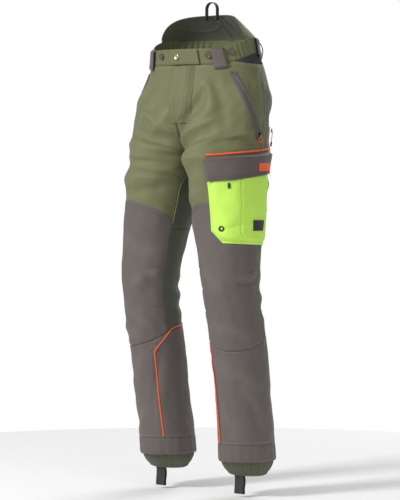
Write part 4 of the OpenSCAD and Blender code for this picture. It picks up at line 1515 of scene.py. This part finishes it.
    def tab(self) -> None:
        """Builds the closing tab, its snap and the brace buttons."""
        w = np.linspace(-0.055, 0.13, 90)[:, None]
        t = np.linspace(0, 1, 18)[None, :]
        z = mix(CUT.band_low(w) + 1, CUT.band_top(w) - 1, t)
        end = np.clip((w + 0.055) / 0.185 * 16, 0, 1)
        edge = -0.9 * (1 - ease(t / 0.1)) - 0.9 * (1 - ease((1 - t) / 0.1)) - 0.9 * (1 - ease(end))
        outer = BODY.waist(w + 0 * t, z, 4.9 + edge)
        inner = BODY.waist(w + 0 * t, z, 2.6 + 0 * edge)
        piece = DRESSER.dress(slab("waist_tab_cloth", outer, inner, surface_uv(outer)), OLIVE)
        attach(piece, "waist_tab")
        finish_piece(piece, "waist_tab", slot="olive")
        sewn = w[3:, 0]
        low, high = CUT.band_low(sewn) + 1, CUT.band_top(sewn) - 1
        rows = [BODY.waist(sewn, mix(low, high, k), 4.9) for k in (0.12, 0.88)]
        piece = stitch("waist_tab_stitching", rows)
        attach(piece, "waist_tab")
        finish_piece(piece)
        y = BODY.point(np.array(0.0), np.array(-20.0))[1]
        centre, facing = np.array([0, y, -20]) * MM, np.array([0, -1.0, 0])
        cap = lathe(
            "snap_cap_metal",
            [(2.2, 1.8), (3, 1.8), (3, 6.0), (7.4, 6.0), (7.6, 6.5), (7.0, 7.4), (5.2, 7.5), (4.4, 7.0), (2.2, 6.9),
             (0.6, 7.2), (0.6, 5.5), (2.2, 5.5), (2.2, 1.8)], centre, facing, 48)
        stud = lathe(
            "snap_stud_metal",
            [(0.3, 0.7), (4, 0.7), (4, 1.2), (3.6, 1.4), (1.7, 1.5), (1.9, 2.6), (1.4, 3.1), (0.3, 3.1), (0.3, 0.7)],
            centre, facing, 32)
        for piece, body, node in ((cap, "waist_tab", "waist_snap_cap"), (stud, "waist", "waist_snap_stud")):
            DRESSER.dress(piece, METAL)
            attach(piece, body)
            finish_piece(piece, node, slot="snap_metal")
        made = []
        profile = [(0.4, 0), (4, 0), (4, 1.6), (8.0, 1.6), (8.6, 2.2), (8.5, 3.2), (7.8, 3.9), (6.6, 3.8), (5.6, 3.0),
                   (2.4, 2.8), (1.6, 3.2), (0.4, 3.2), (0.4, 0)]
        for side, u in self.buttons:
            at, above = (BODY.skin(side, np.array(u), CUT.band_top(np.array(u)) - 16, d) for d in (0.6, 1.6))
            made.append(lathe(f"button_{side.tag}_{u}", profile, at, above - at, 40))
        piece = DRESSER.dress(joined("brace_button_discs", made), OLIVE_PLASTIC)
        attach(piece, "waist")
        finish_piece(piece, "brace_buttons", slot="black_plastic")

    def build(self) -> None:
        """Builds everything at the waist."""
        self.band()
        self.kidney()
        self.hanging_loop()
        self.stretch()
        self.loops()
        self.ties()
        self.tab()


@dataclass
class Fly:
    """The placket, the zip under it and its slider."""

    top_mm: float = -43
    low_mm: float = -186

    def build(self) -> None:
        """Builds the fly."""
        s = np.linspace(0, 1, 60)[:, None]
        t = np.linspace(0, 1, 60)[None, :]
        lift = 0.6 + 5.2 * ease((1 - s) * 5) * ease(t * 2.5)
        w = mix(-0.03, 0.1, s) + 0 * t
        z = mix(self.low_mm, self.top_mm, t) + 0 * s
        edge = -0.5 * (1 - ease(s / 0.06)) - 0.6 * (1 - ease((1 - s) / 0.06))
        soft = 0.5 * np.sin(t * 9 + s * 4) + 0.3 * np.sin(t * 23 - s * 5)
        settle = drape(Side.LEFT, np.abs(w), z) * ease((s - 0.2) / 0.5)
        outer = BODY.waist(w, z, lift + 1.6 + edge + soft + settle)
        inner = BODY.waist(w, z, lift + edge + soft + settle)
        piece = DRESSER.dress(slab("fly_placket_cloth", outer, inner, surface_uv(outer)), OLIVE)
        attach(piece, "waist")
        finish_piece(piece, "fly_placket", slot="olive")
        rows = []
        for shift in (0, 0.014):
            z = np.concatenate([np.linspace(-46, -150, 70), np.linspace(-150, -184, 40)[1:]])
            bend = 0.078 - shift - 0.075 * np.clip((-150 - z) / 34, 0, 1) ** 2.2
            share = (bend + 0.03) / 0.13
            rise = 0.6 + 5.2 * ease((1 - share) * 5) * ease((z - self.low_mm) / 57) + 1.9
            rise = rise + drape(Side.LEFT, np.abs(bend), z) * ease((share - 0.2) / 0.5)
            rows.append(BODY.waist(bend, z, rise + 0.3))
        piece = stitch("fly_stitching", rows)
        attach(piece, "waist")
        finish_piece(piece)
        w = np.linspace(-0.018, 0.018, 9)[:, None]
        t = np.linspace(0, 1, 60)[None, :]
        z = mix(self.low_mm + 2, self.top_mm - 1, t) + 0 * w
        outer, inner = BODY.waist(w + 0 * t, z, 1.6), BODY.waist(w + 0 * t, z, 0.4)
        piece = DRESSER.dress(slab("fly_zip_tape", outer, inner, surface_uv(outer)), BLACK)
        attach(piece, "waist")
        finish_piece(piece, "fly_zip", slot="zip_black")
        z = np.linspace(-182, -46, 120)
        rows = [BODY.waist(np.full(120, x), z, 1.8) for x in (-0.0035, 0.0035)]
        piece = TEETH.along("fly_zip_teeth", rows, 2.0, 1.1, 1.5, METAL)
        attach(piece, "waist")
        finish_piece(piece)
        DRESSER.dress(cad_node("fly_slider"), METAL)


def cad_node(name: str) -> bpy.types.Object:
    """A CAD node's object."""
    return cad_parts[name]


@dataclass
class HandPocket:
    """One slanted hand pocket: its bound mouth, zip, bag and slider."""

    side: Side
    rest: float = 0.97

    @staticmethod
    def mouth(t: Array) -> tuple:
        """u and z of the mouth, from the belt down to the side."""
        return 0.315 + 0.2 * np.asarray(t) ** 1.1, -62 - 156 * np.asarray(t)

    def build(self) -> list:
        """Builds the mouth.

        Returns:
            The welts and the bag, which join the other side's.
        """
        s = self.side
        t = np.linspace(-0.03, 1.04, 150)
        u, z = self.mouth(np.maximum(t, 0))
        z = z + 4 * np.minimum(t, 0)
        welts = []
        for shift in (-1, 1):
            wide = 0.0116 + 0.0007 * np.sin(t * 80)
            made, _ = ribbon(f"welt_{s.tag}_{shift}", s, u + shift * wide, z, 10.4, 0.8, 3.6, 9)
            welts.append(DRESSER.dress(made, TAUPE))
            STITCHING.rows(f"hip_{s.tag}").append(cloth(s, u + shift * 0.0195, z, 3.4))
        tape, _ = ribbon(f"hand_zip_tape_{s.tag}", s, u, z, 12, 0.7, 1.5, 5)
        hip_bend(DRESSER.dress(tape, BLACK), s)
        finish_piece(tape, slot="zip_black")
        rows = [cloth(s, u + shift * 0.0018, z, 2.0) for shift in (-1, 1)]
        teeth = TEETH.along(f"hand_zip_teeth_{s.tag}", rows, 1.7, 0.9, 1.1, PLASTIC)
        hip_bend(teeth, s)
        finish_piece(teeth)
        self.slider()
        grid_u = np.linspace(0.2, 0.44, 30)[:, None]
        grid_z = np.linspace(-178, -80, 30)[None, :]
        outer = cloth(s, grid_u + 0 * grid_z, grid_z + 0 * grid_u, -3.6)
        inner = cloth(s, grid_u + 0 * grid_z, grid_z + 0 * grid_u, -5.2)
        bag = DRESSER.dress(slab(f"pocket_bag_{s.tag}", outer, inner, surface_uv(outer)), LINING)
        return [welts, bag]


    def slider(self) -> None:
        """Builds the zip's slider with its ring pull."""
        s = self.side
        u, z = (np.array(float(v)) for v in self.mouth(self.rest))
        at, out = self.frame_at(s, u, z)
        down = np.array([0, 0, -1.0])
        down = unit(down - out * np.dot(down, out))
        right = np.cross(out, down)
        body = DRESSER.dress(pebble(
            f"hand_slider_body_{s.tag}", at + out * 6.2 * MM, (down * 5.2, right * 3.2, out * 1.5)), PLASTIC)
        place = at + out * 8.2 * MM + down * 4.5 * MM
        neck = DRESSER.dress(
            pebble(f"hand_slider_neck_{s.tag}", place, (down * 3.4, right * 1.4, out * 0.7)), METAL)
        profile = [(5.2, -0.8), (7.2, -0.8), (7.5, 0), (7.2, 0.8), (5.2, 0.8), (4.9, 0), (5.2, -0.8)]
        ring = DRESSER.dress(lathe(
            f"hand_slider_ring_{s.tag}", profile, at + out * 8.2 * MM + down * 13 * MM, out, 40), ORANGE)
        for piece in (body, neck, ring):
            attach(piece, f"hand_slider_{s.tag}")
        finish_piece(body, f"hand_slider_{s.tag}", slot="black_plastic")
        finish_piece(neck)
        finish_piece(ring)

    @staticmethod
    def frame_at(side: Side, u: Array, z: Array) -> tuple:
        """The body shape's point and its outward direction."""
        at, above = BODY.skin(side, u, z, 0.0), BODY.skin(side, u, z, 1.0)
        return at, unit(above - at)


@dataclass
class Vent:
    """The ventilation zip down the back of one thigh."""

    side: Side

    @staticmethod
    def route(z: Array) -> Array:
        """u of the zip over height."""
        return 0.625 + 0.035 * np.clip((z + 270) / 70, 0, 1)

    def build(self) -> None:
        """Builds the tape, its teeth and the pull."""
        s = self.side
        z = np.linspace(-440, -194, 170)
        tape, _ = ribbon(f"vent_zip_tape_{s.tag}", s, self.route(z), z, 15, 0.5, 1.7, 9)
        DRESSER.dress(tape, ORANGE)
        hip_bend(tape, s)
        finish_piece(tape, f"vent_zip_{s.tag}", slot="orange")
        rows = [cloth(s, self.route(z) + shift * 0.002, z, 2.0) for shift in (-1, 1)]
        teeth = TEETH.along(f"vent_zip_teeth_{s.tag}", rows, 1.8, 1.0, 1.3, PLASTIC)
        hip_bend(teeth, s)
        finish_piece(teeth)
        self.slider()

    def slider(self) -> None:
        """Builds the slider with its cord pull and moulded tip."""
        s = self.side
        z = np.array(-202.0)
        at, out = HandPocket.frame_at(s, self.route(z), z)
        down = unit(np.array([0, 0, -1.0]) - out * -out[2])
        right = np.cross(out, down)
        name = f"vent_slider_{s.tag}"
        body = DRESSER.dress(pebble(f"{name}_body", at + out * 6.2 * MM, (down * 5.2, right * 3.2, out * 1.5)), PLASTIC)
        t = np.linspace(0, 1, 26)[:, None]
        middle = at + out * 8.6 * MM
        loops = []
        for turn in (-1, 1):
            path = middle + down * (2 + 27 * t) * MM + right * (turn * 2.6 * np.sin(np.pi * t) ** 0.7) * MM
            loops.append(DRESSER.dress(tube(f"{name}_cord_{turn}", path, 0.9 * MM, sides=8), ORANGE))
        cord = joined(f"{name}_pull", loops)
        tip = DRESSER.dress(
            pebble(f"{name}_tip", middle + down * 34 * MM, (down * 6.4, right * 2.5, out * 2.2)), PLASTIC)
        for piece in (body, cord, tip):
            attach(piece, name)
        finish_piece(body, name, slot="black_plastic")
        finish_piece(cord)
        finish_piece(tip)


@dataclass
class CargoPocket:
    """The neon cargo pocket with its flap and trims, on the wearer's left thigh."""

    u0: float = 0.3
    u1: float = 0.595
    gap_mm: float = 8.0
    flap_mm: float = 12.4

    def piping_z(self, u: Array) -> Array:
        """Height of the piping."""
        return -267 + 18 * (u - self.u0) / (self.u1 - self.u0)

    def pocket_low(self, u: Array) -> Array:
        """Bottom edge of the pocket."""
        return -480 - 9 * (u - self.u0) / (self.u1 - self.u0)

    def pocket_u(self, s: Array, t: Array) -> Array:
        """u over the pocket, with its cut corner."""
        return mix(self.u0 - 0.02 * (1 - t) + 0.055 * np.maximum(0, 1 - 7 * t), self.u1, s)

    def pocket(self) -> None:
        """Builds the pocket with its pleat and soft fullness."""
        s = self.squeezed(150)[:, None]
        t = self.squeezed(150)[None, :]
        u = self.pocket_u(s, t)
        z = mix(self.pocket_low(u), self.piping_z(u) - 18, t)
        full = ease(np.minimum(s, 1 - s) * 9) * ease(t * 12)
        pleat = -2.2 * hump(s, 0.43 + 0.01 * t, 0.008) * ease(t * 6)
        soft = 1.1 * np.sin(s * 7 + t * 3) * np.sin(t * 6) + 0.7 * np.sin(s * 15 - t * 8)
        crease = -1.6 * hump(t - 0.25 * s, 0.12, 0.03) + 1.3 * hump(t + 0.2 * s, 0.55, 0.05)
        hem = -0.8 * hump(s, 0.03, 0.006) - 0.8 * hump(s, 0.97, 0.006) - 0.8 * hump(t, 0.03, 0.006)
        d = 0.5 + self.gap_mm * full + (pleat + soft + crease) * full + hem
        outer, inner = cloth(Side.LEFT, u, z, d + 2.4), cloth(Side.LEFT, u, z, d)
        piece = DRESSER.dress(slab("cargo_pocket_cloth", outer, inner, surface_uv(outer)), NEON)
        hip_bend(piece, Side.LEFT)
        finish_piece(piece, "cargo_pocket", slot="neon")
        rows = []
        ramp = np.linspace(0.04, 0.97, 120)
        for inset in (0.02, 0.05):
            for edge in (inset, 1 - inset):
                v = self.pocket_u(np.full(120, edge), ramp)
                rows.append(cloth(
                    Side.LEFT, v, mix(self.pocket_low(v), self.piping_z(v) - 18, ramp),
                    3.2 + self.gap_mm * float(ease(np.array(inset * 9)))))
        v = self.pocket_u(ramp, np.full(120, 0.03))
        proud = self.gap_mm * ease(np.minimum(ramp, 1 - ramp) * 9) * float(ease(np.array(0.36)))
        rows.append(cloth(Side.LEFT, v, mix(self.pocket_low(v), self.piping_z(v) - 18, 0.03), 3.2 + proud))
        piece = stitch("cargo_pocket_stitching", rows, NEON_THREAD)
        hip_bend(piece, Side.LEFT)
        finish_piece(piece)

    @staticmethod
    def squeezed(n: int) -> Array:
        """Steps from 0 to 1, closer at both ends."""
        t = np.linspace(0, 1, n)
        return t - 0.1 * np.sin(2 * np.pi * t)

    def flap(self) -> None:
        """Builds the flap, its turned root, the label and the piping over it."""
        u = np.linspace(self.u0, self.u1, 130)[:, None]
        t = self.squeezed(40)[None, :]
        low = self.piping_z(u) - 67 + 8 * np.abs((u - 0.4) / 0.25)
        z = mix(low, self.piping_z(u) - 15, t)
        edge = -0.9 * (1 - ease(t / 0.08)) - 0.9 * (1 - ease(np.minimum(u - self.u0, self.u1 - u) / 0.014))
        groove = -0.5 * hump(t, 0.14, 0.02)
        settle = drape(Side.LEFT, u + 0 * z, z)
        outer = BODY.skin(Side.LEFT, u + 0 * z, z, self.flap_mm + 2.4 + edge + groove + settle)
        inner = BODY.skin(Side.LEFT, u + 0 * z, z, self.flap_mm + 0.2 + settle)
        piece = DRESSER.dress(slab("cargo_flap_cloth", outer, inner, surface_uv(outer)), TAUPE)
        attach(piece, "cargo_flap")
        finish_piece(piece, "cargo_flap", slot="taupe")
        ramp = np.linspace(self.u0 + 0.012, self.u1 - 0.012, 90)
        low = self.piping_z(ramp) - 67 + 8 * np.abs((ramp - 0.4) / 0.25)
        rows = [cloth(Side.LEFT, ramp, low + k, self.flap_mm + 2.5) for k in (6, 11)]
        down = np.linspace(-325, -288, 40)
        for end in (ramp[0], ramp[-1]):
            rows.append(cloth(Side.LEFT, np.full(40, end), down, self.flap_mm + 2.5))
        piece = stitch("cargo_flap_stitching", rows, TAUPE_THREAD)
        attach(piece, "cargo_flap")
        finish_piece(piece)
        v = np.linspace(0.5, 0.585, 24)[:, None]
        h = np.linspace(-306, -286, 10)[None, :]
        outer = cloth(Side.LEFT, v + 0 * h, h + 0 * v, self.flap_mm + 3.7)
        inner = cloth(Side.LEFT, v + 0 * h, h + 0 * v, self.flap_mm + 2.6)
        piece = DRESSER.dress(slab("flap_label_tape", outer, inner, surface_uv(outer)), ORANGE)
        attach(piece, "cargo_flap")
        finish_piece(piece, "flap_label", slot="orange")
        t = np.linspace(0, 1, 20)[None, :]
        z = mix(self.piping_z(u) - 14.6, self.piping_z(u) - 3.6, t)
        d = mix(self.flap_mm, 0.5, ease(t)) + 0 * u
        outer, inner = cloth(Side.LEFT, u + 0 * z, z, d + 2.4), cloth(Side.LEFT, u + 0 * z, z, d)
        piece = DRESSER.dress(slab("flap_root_cloth", outer, inner, surface_uv(outer)), TAUPE)
        hip_bend(piece, Side.LEFT)
        finish_piece(piece, "flap_root", slot="taupe")
        v = np.linspace(self.u0, self.u1, 90)
        path = cloth(Side.LEFT, v, self.piping_z(v), 3.2)
        piece = DRESSER.dress(tube("cargo_piping_cord", path, 2.8 * MM, sides=12), ORANGE)
        hip_bend(piece, Side.LEFT)
        finish_piece(piece, "cargo_piping", slot="orange")

    def trims(self) -> None:
        """Builds the eyelet, the plain badge and the pull under the flap."""
        at, above = (cloth(Side.LEFT, np.array(0.335), np.array(-446.0), d) for d in (11.2, 12.2))
        profile = [
            (3, -0.6), (7.2, -0.6), (7.5, 0.2), (7.3, 1.0), (6.2, 1.9), (4.6, 1.9), (3.5, 1.2), (3, 0.2), (3, -0.6)]
        piece = DRESSER.dress(lathe("cargo_eyelet_ring", profile, at, above - at, 48), PLASTIC)
        hip_bend(piece, Side.LEFT)
        finish_piece(piece, "cargo_eyelet", slot="black_plastic")
        at, above = (cloth(Side.LEFT, np.array(0.38), np.array(-334.0), d) for d in (12.0, 13.0))
        out = unit(above - at)
        down = unit(np.array([0, 0, -1.0]) + out * out[2])
        right = np.cross(out, down)
        pull = DRESSER.dress(pebble("cargo_pull_tip", at + down * 7 * MM, (down * 7, right * 3.4, out * 1.3)), PLASTIC)
        hip_bend(pull, Side.LEFT)
        finish_piece(pull)
        v = np.linspace(0.475, 0.54, 30)[:, None]
        h = np.linspace(-452, -426, 20)[None, :]
        edge = -0.6 * np.maximum(np.abs((v - 0.5075) / 0.0325), np.abs((h + 439) / 13)) ** 8
        outer = cloth(Side.LEFT, v + 0 * h, h + 0 * v, 12.4 + edge)
        inner = cloth(Side.LEFT, v + 0 * h, h + 0 * v, 10.6)
        piece = DRESSER.dress(slab("cargo_badge_patch", outer, inner, surface_uv(outer)), NAVY)
        hip_bend(piece, Side.LEFT)
        finish_piece(piece, "cargo_badge", slot="navy")

    def build(self) -> None:
        """Builds the whole pocket."""
        self.pocket()
        self.flap()
        self.trims()


@dataclass
class Inside:
    """The layers that the outer cloth hides on one side: the cut pad and the leg's lining."""

    side: Side
    split_mm: float = -460
    pad_mm: tuple = (-974, -304)
    lining_mm: tuple = (-984, -300)
    channel_mm: float = 74

    def pad(self, part: str, low: float, high: float) -> bpy.types.Object:
        """Builds one length of the quilted pad.

        Args:
            part: which length it is.
            low: its lowest height in millimetres.
            high: its highest.

        Returns:
            The piece.
        """
        u = np.linspace(0.03, 0.53, 110)[:, None]
        z = np.linspace(low, high, int((high - low) / 3.4))[None, :] + 0 * u
        seam = np.abs(np.sin(np.pi * (z - self.split_mm) / self.channel_mm)) ** 0.5
        side_in = ease(np.minimum(u - 0.03, 0.53 - u) / 0.03)
        half = (0.8 + 1.9 * seam) * (0.35 + 0.65 * side_in)
        outer, inner = (cloth(self.side, u + 0 * z, z, -6.4 + k * half) for k in (1, -1))
        name = f"cut_pad_{part}_{self.side.tag}"
        piece = DRESSER.dress(slab(name, outer, inner, surface_uv(outer)), PADDING)
        return piece

    def lining(self, part: str, low: float, high: float) -> bpy.types.Object:
        """Builds one length of the leg's lining."""
        u = np.linspace(0, 1, 120, endpoint=False)[:, None]
        z = np.linspace(low, high, int((high - low) / 4.4))[None, :] + 0 * u
        wave = 0.4 * np.sin(u * 44 + z * 0.013)
        outer, inner = (cloth(self.side, u + 0 * z, z, d + wave) for d in (-9.9, -10.9))
        name = f"leg_lining_{part}_{self.side.tag}"
        return DRESSER.dress(slab(name, outer, inner, surface_uv(outer), loop=True), LINING)

    def build(self) -> None:
        """Builds both layers, each in a length for the hip and one for the knee."""
        for part, bend in (("upper", hip_bend), ("lower", knee_bend)):
            for make, ends, node, slot in (
                (self.pad, self.pad_mm, "cut_pad", "pad_white"), (self.lining, self.lining_mm, "leg_lining", "lining"),
            ):
                low, high = (self.split_mm, ends[1]) if part == "upper" else (ends[0], self.split_mm)
                piece = make(part, low, high)
                bend(piece, self.side)
                finish_piece(piece, f"{node}_{self.side.tag}", slot=slot)


def seat_lining() -> None:
    """Builds the lining inside the waist."""
    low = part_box("seat_lining")[0][2] / MM
    w = np.linspace(0, 2, 300, endpoint=False)[:, None]
    t = np.linspace(0, 1, 50)[None, :]
    z = mix(low, CUT.band_low(w) - 4, t)
    wave = 0.5 * np.sin(w * 40 + t * 5)
    outer, inner = BODY.waist(w + 0 * t, z, -9.4 + wave), BODY.waist(w + 0 * t, z, -10.6 + wave)
    piece = DRESSER.dress(slab("seat_lining_cloth", outer, inner, surface_uv(outer), loop=True), LINING)
    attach(piece, "waist")
    finish_piece(piece, "seat_lining", slot="lining")


def all_stitching() -> None:
    """Builds each set of topstitching and places it like the cloth that it is sewn to: parented to an empty or with its
    transform baked.
    """
    for key, rows in STITCHING.sets.items():
        finish = TAUPE_THREAD if "taupe" in key or "hem" in key else THREAD
        piece = stitch(f"topstitching_{key}", rows, finish)
        side = Side.RIGHT if "right" in key else Side.LEFT
        if key == "waist":
            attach(piece, "waist")
        elif key.startswith("hip"):
            hip_bend(piece, side)
        elif key.startswith("knee"):
            knee_bend(piece, side)
        else:
            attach(piece, f"shin_{side.tag}")
        finish_piece(piece)


@dataclass
class Studio:
    """The camera, the lights and the pale floor."""

    azimuth: float = 40
    elevation: float = 2
    distance: float = 6.0
    view_m: float = 1.27
    target: tuple = (-0.0068, -0.0057, -0.505)
    ambient: float = 0.36
    floor_gap: float = 0.004
    floor_radius: float = 1.5
    floor_steps: int = 96

    def build(self) -> None:
        """Sets up the studio."""
        a, e = math.radians(self.azimuth), math.radians(self.elevation)
        back = Vector((math.sin(a) * math.cos(e), -math.cos(a) * math.cos(e), math.sin(e)))
        data = bpy.data.cameras.new("camera")
        data.sensor_fit = "VERTICAL"
        data.sensor_height = 24
        data.lens = 24 * self.distance / self.view_m
        camera = bpy.data.objects.new("camera", data)
        bpy.context.scene.collection.objects.link(camera)
        camera.location = Vector(self.target) + back * self.distance
        camera.rotation_euler = (-back).to_track_quat("-Z", "Y").to_euler()
        bpy.context.scene.camera = camera
        for name, place, size, power in (
            ("key", (-0.9, -3.4, 1.6), 0.9, 125), ("fill", (3.4, -1.9, 0.4), 2.6, 30),
            ("back", (-0.6, 3.4, 1.6), 2.4, 70),
        ):
            light = bpy.data.lights.new(name, "AREA")
            light.shape, light.size, light.energy = "SQUARE", size, power
            lamp = bpy.data.objects.new(name, light)
            bpy.context.scene.collection.objects.link(lamp)
            lamp.location = place
            lamp.rotation_euler = (Vector(place) - Vector((0, 0, -0.5))).to_track_quat("Z", "Y").to_euler()
        world = bpy.data.worlds.new("studio")
        world.use_nodes = True
        tree = world.node_tree
        seen = add_node(tree, "ShaderNodeLightPath")
        strength = add_node(tree, "ShaderNodeMapRange")
        strength.inputs["To Min"].default_value = self.ambient
        link(tree, seen.outputs["Is Camera Ray"], strength.inputs["Value"])
        tree.nodes["Background"].inputs["Color"].default_value = (1, 1, 1, 1)
        link(tree, strength.outputs["Result"], tree.nodes["Background"].inputs["Strength"])
        bpy.context.scene.world = world
        bpy.context.scene.view_settings.view_transform = "Standard"
        floor_z = float(CAD_BOX[0][2]) - self.floor_gap
        turn = np.arange(self.floor_steps) * 2 * np.pi / self.floor_steps
        round_floor = self.floor_radius * np.cos(turn), self.floor_radius * np.sin(turn)
        points = np.stack([*round_floor, np.full(self.floor_steps, floor_z)], -1)
        floor = make_piece("floor", points, [tuple(range(self.floor_steps))])
        pale = HardFinish("pale_floor", (0.95, 0.95, 0.95), roughness=0.85, grain=900, spread=0.01)
        DRESSER.dress(floor, pale)


def main() -> None:
    """Builds the trousers in order and reports each piece."""
    Studio().build()
    Waist().build()
    Fly().build()
    seat_lining()
    bags = []
    for side in Side:
        UpperLeg(side).front()
        UpperLeg(side).seat()
        Knee(side).overlay()
        Knee(side).back()
        lower = LowerLeg(side)
        lower.panels()
        lower.piping()
        lower.hem()
        gaiter = Gaiter(side)
        gaiter.cuff()
        gaiter.strap()
        Vent(side).build()
        Inside(side).build()
        pair, bag = HandPocket(side).build()
        welt = joined(f"pocket_welts_{side.tag}", pair)
        hip_bend(welt, side)
        finish_piece(welt, "pocket_welts", slot="taupe")
        bags.append(bag)
    bag = joined("pocket_bag_cloth", bags)
    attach(bag, "waist")
    finish_piece(bag, "pocket_bags", slot="lining")
    CargoPocket().build()
    all_stitching()


if __name__ == "__main__":
    main()
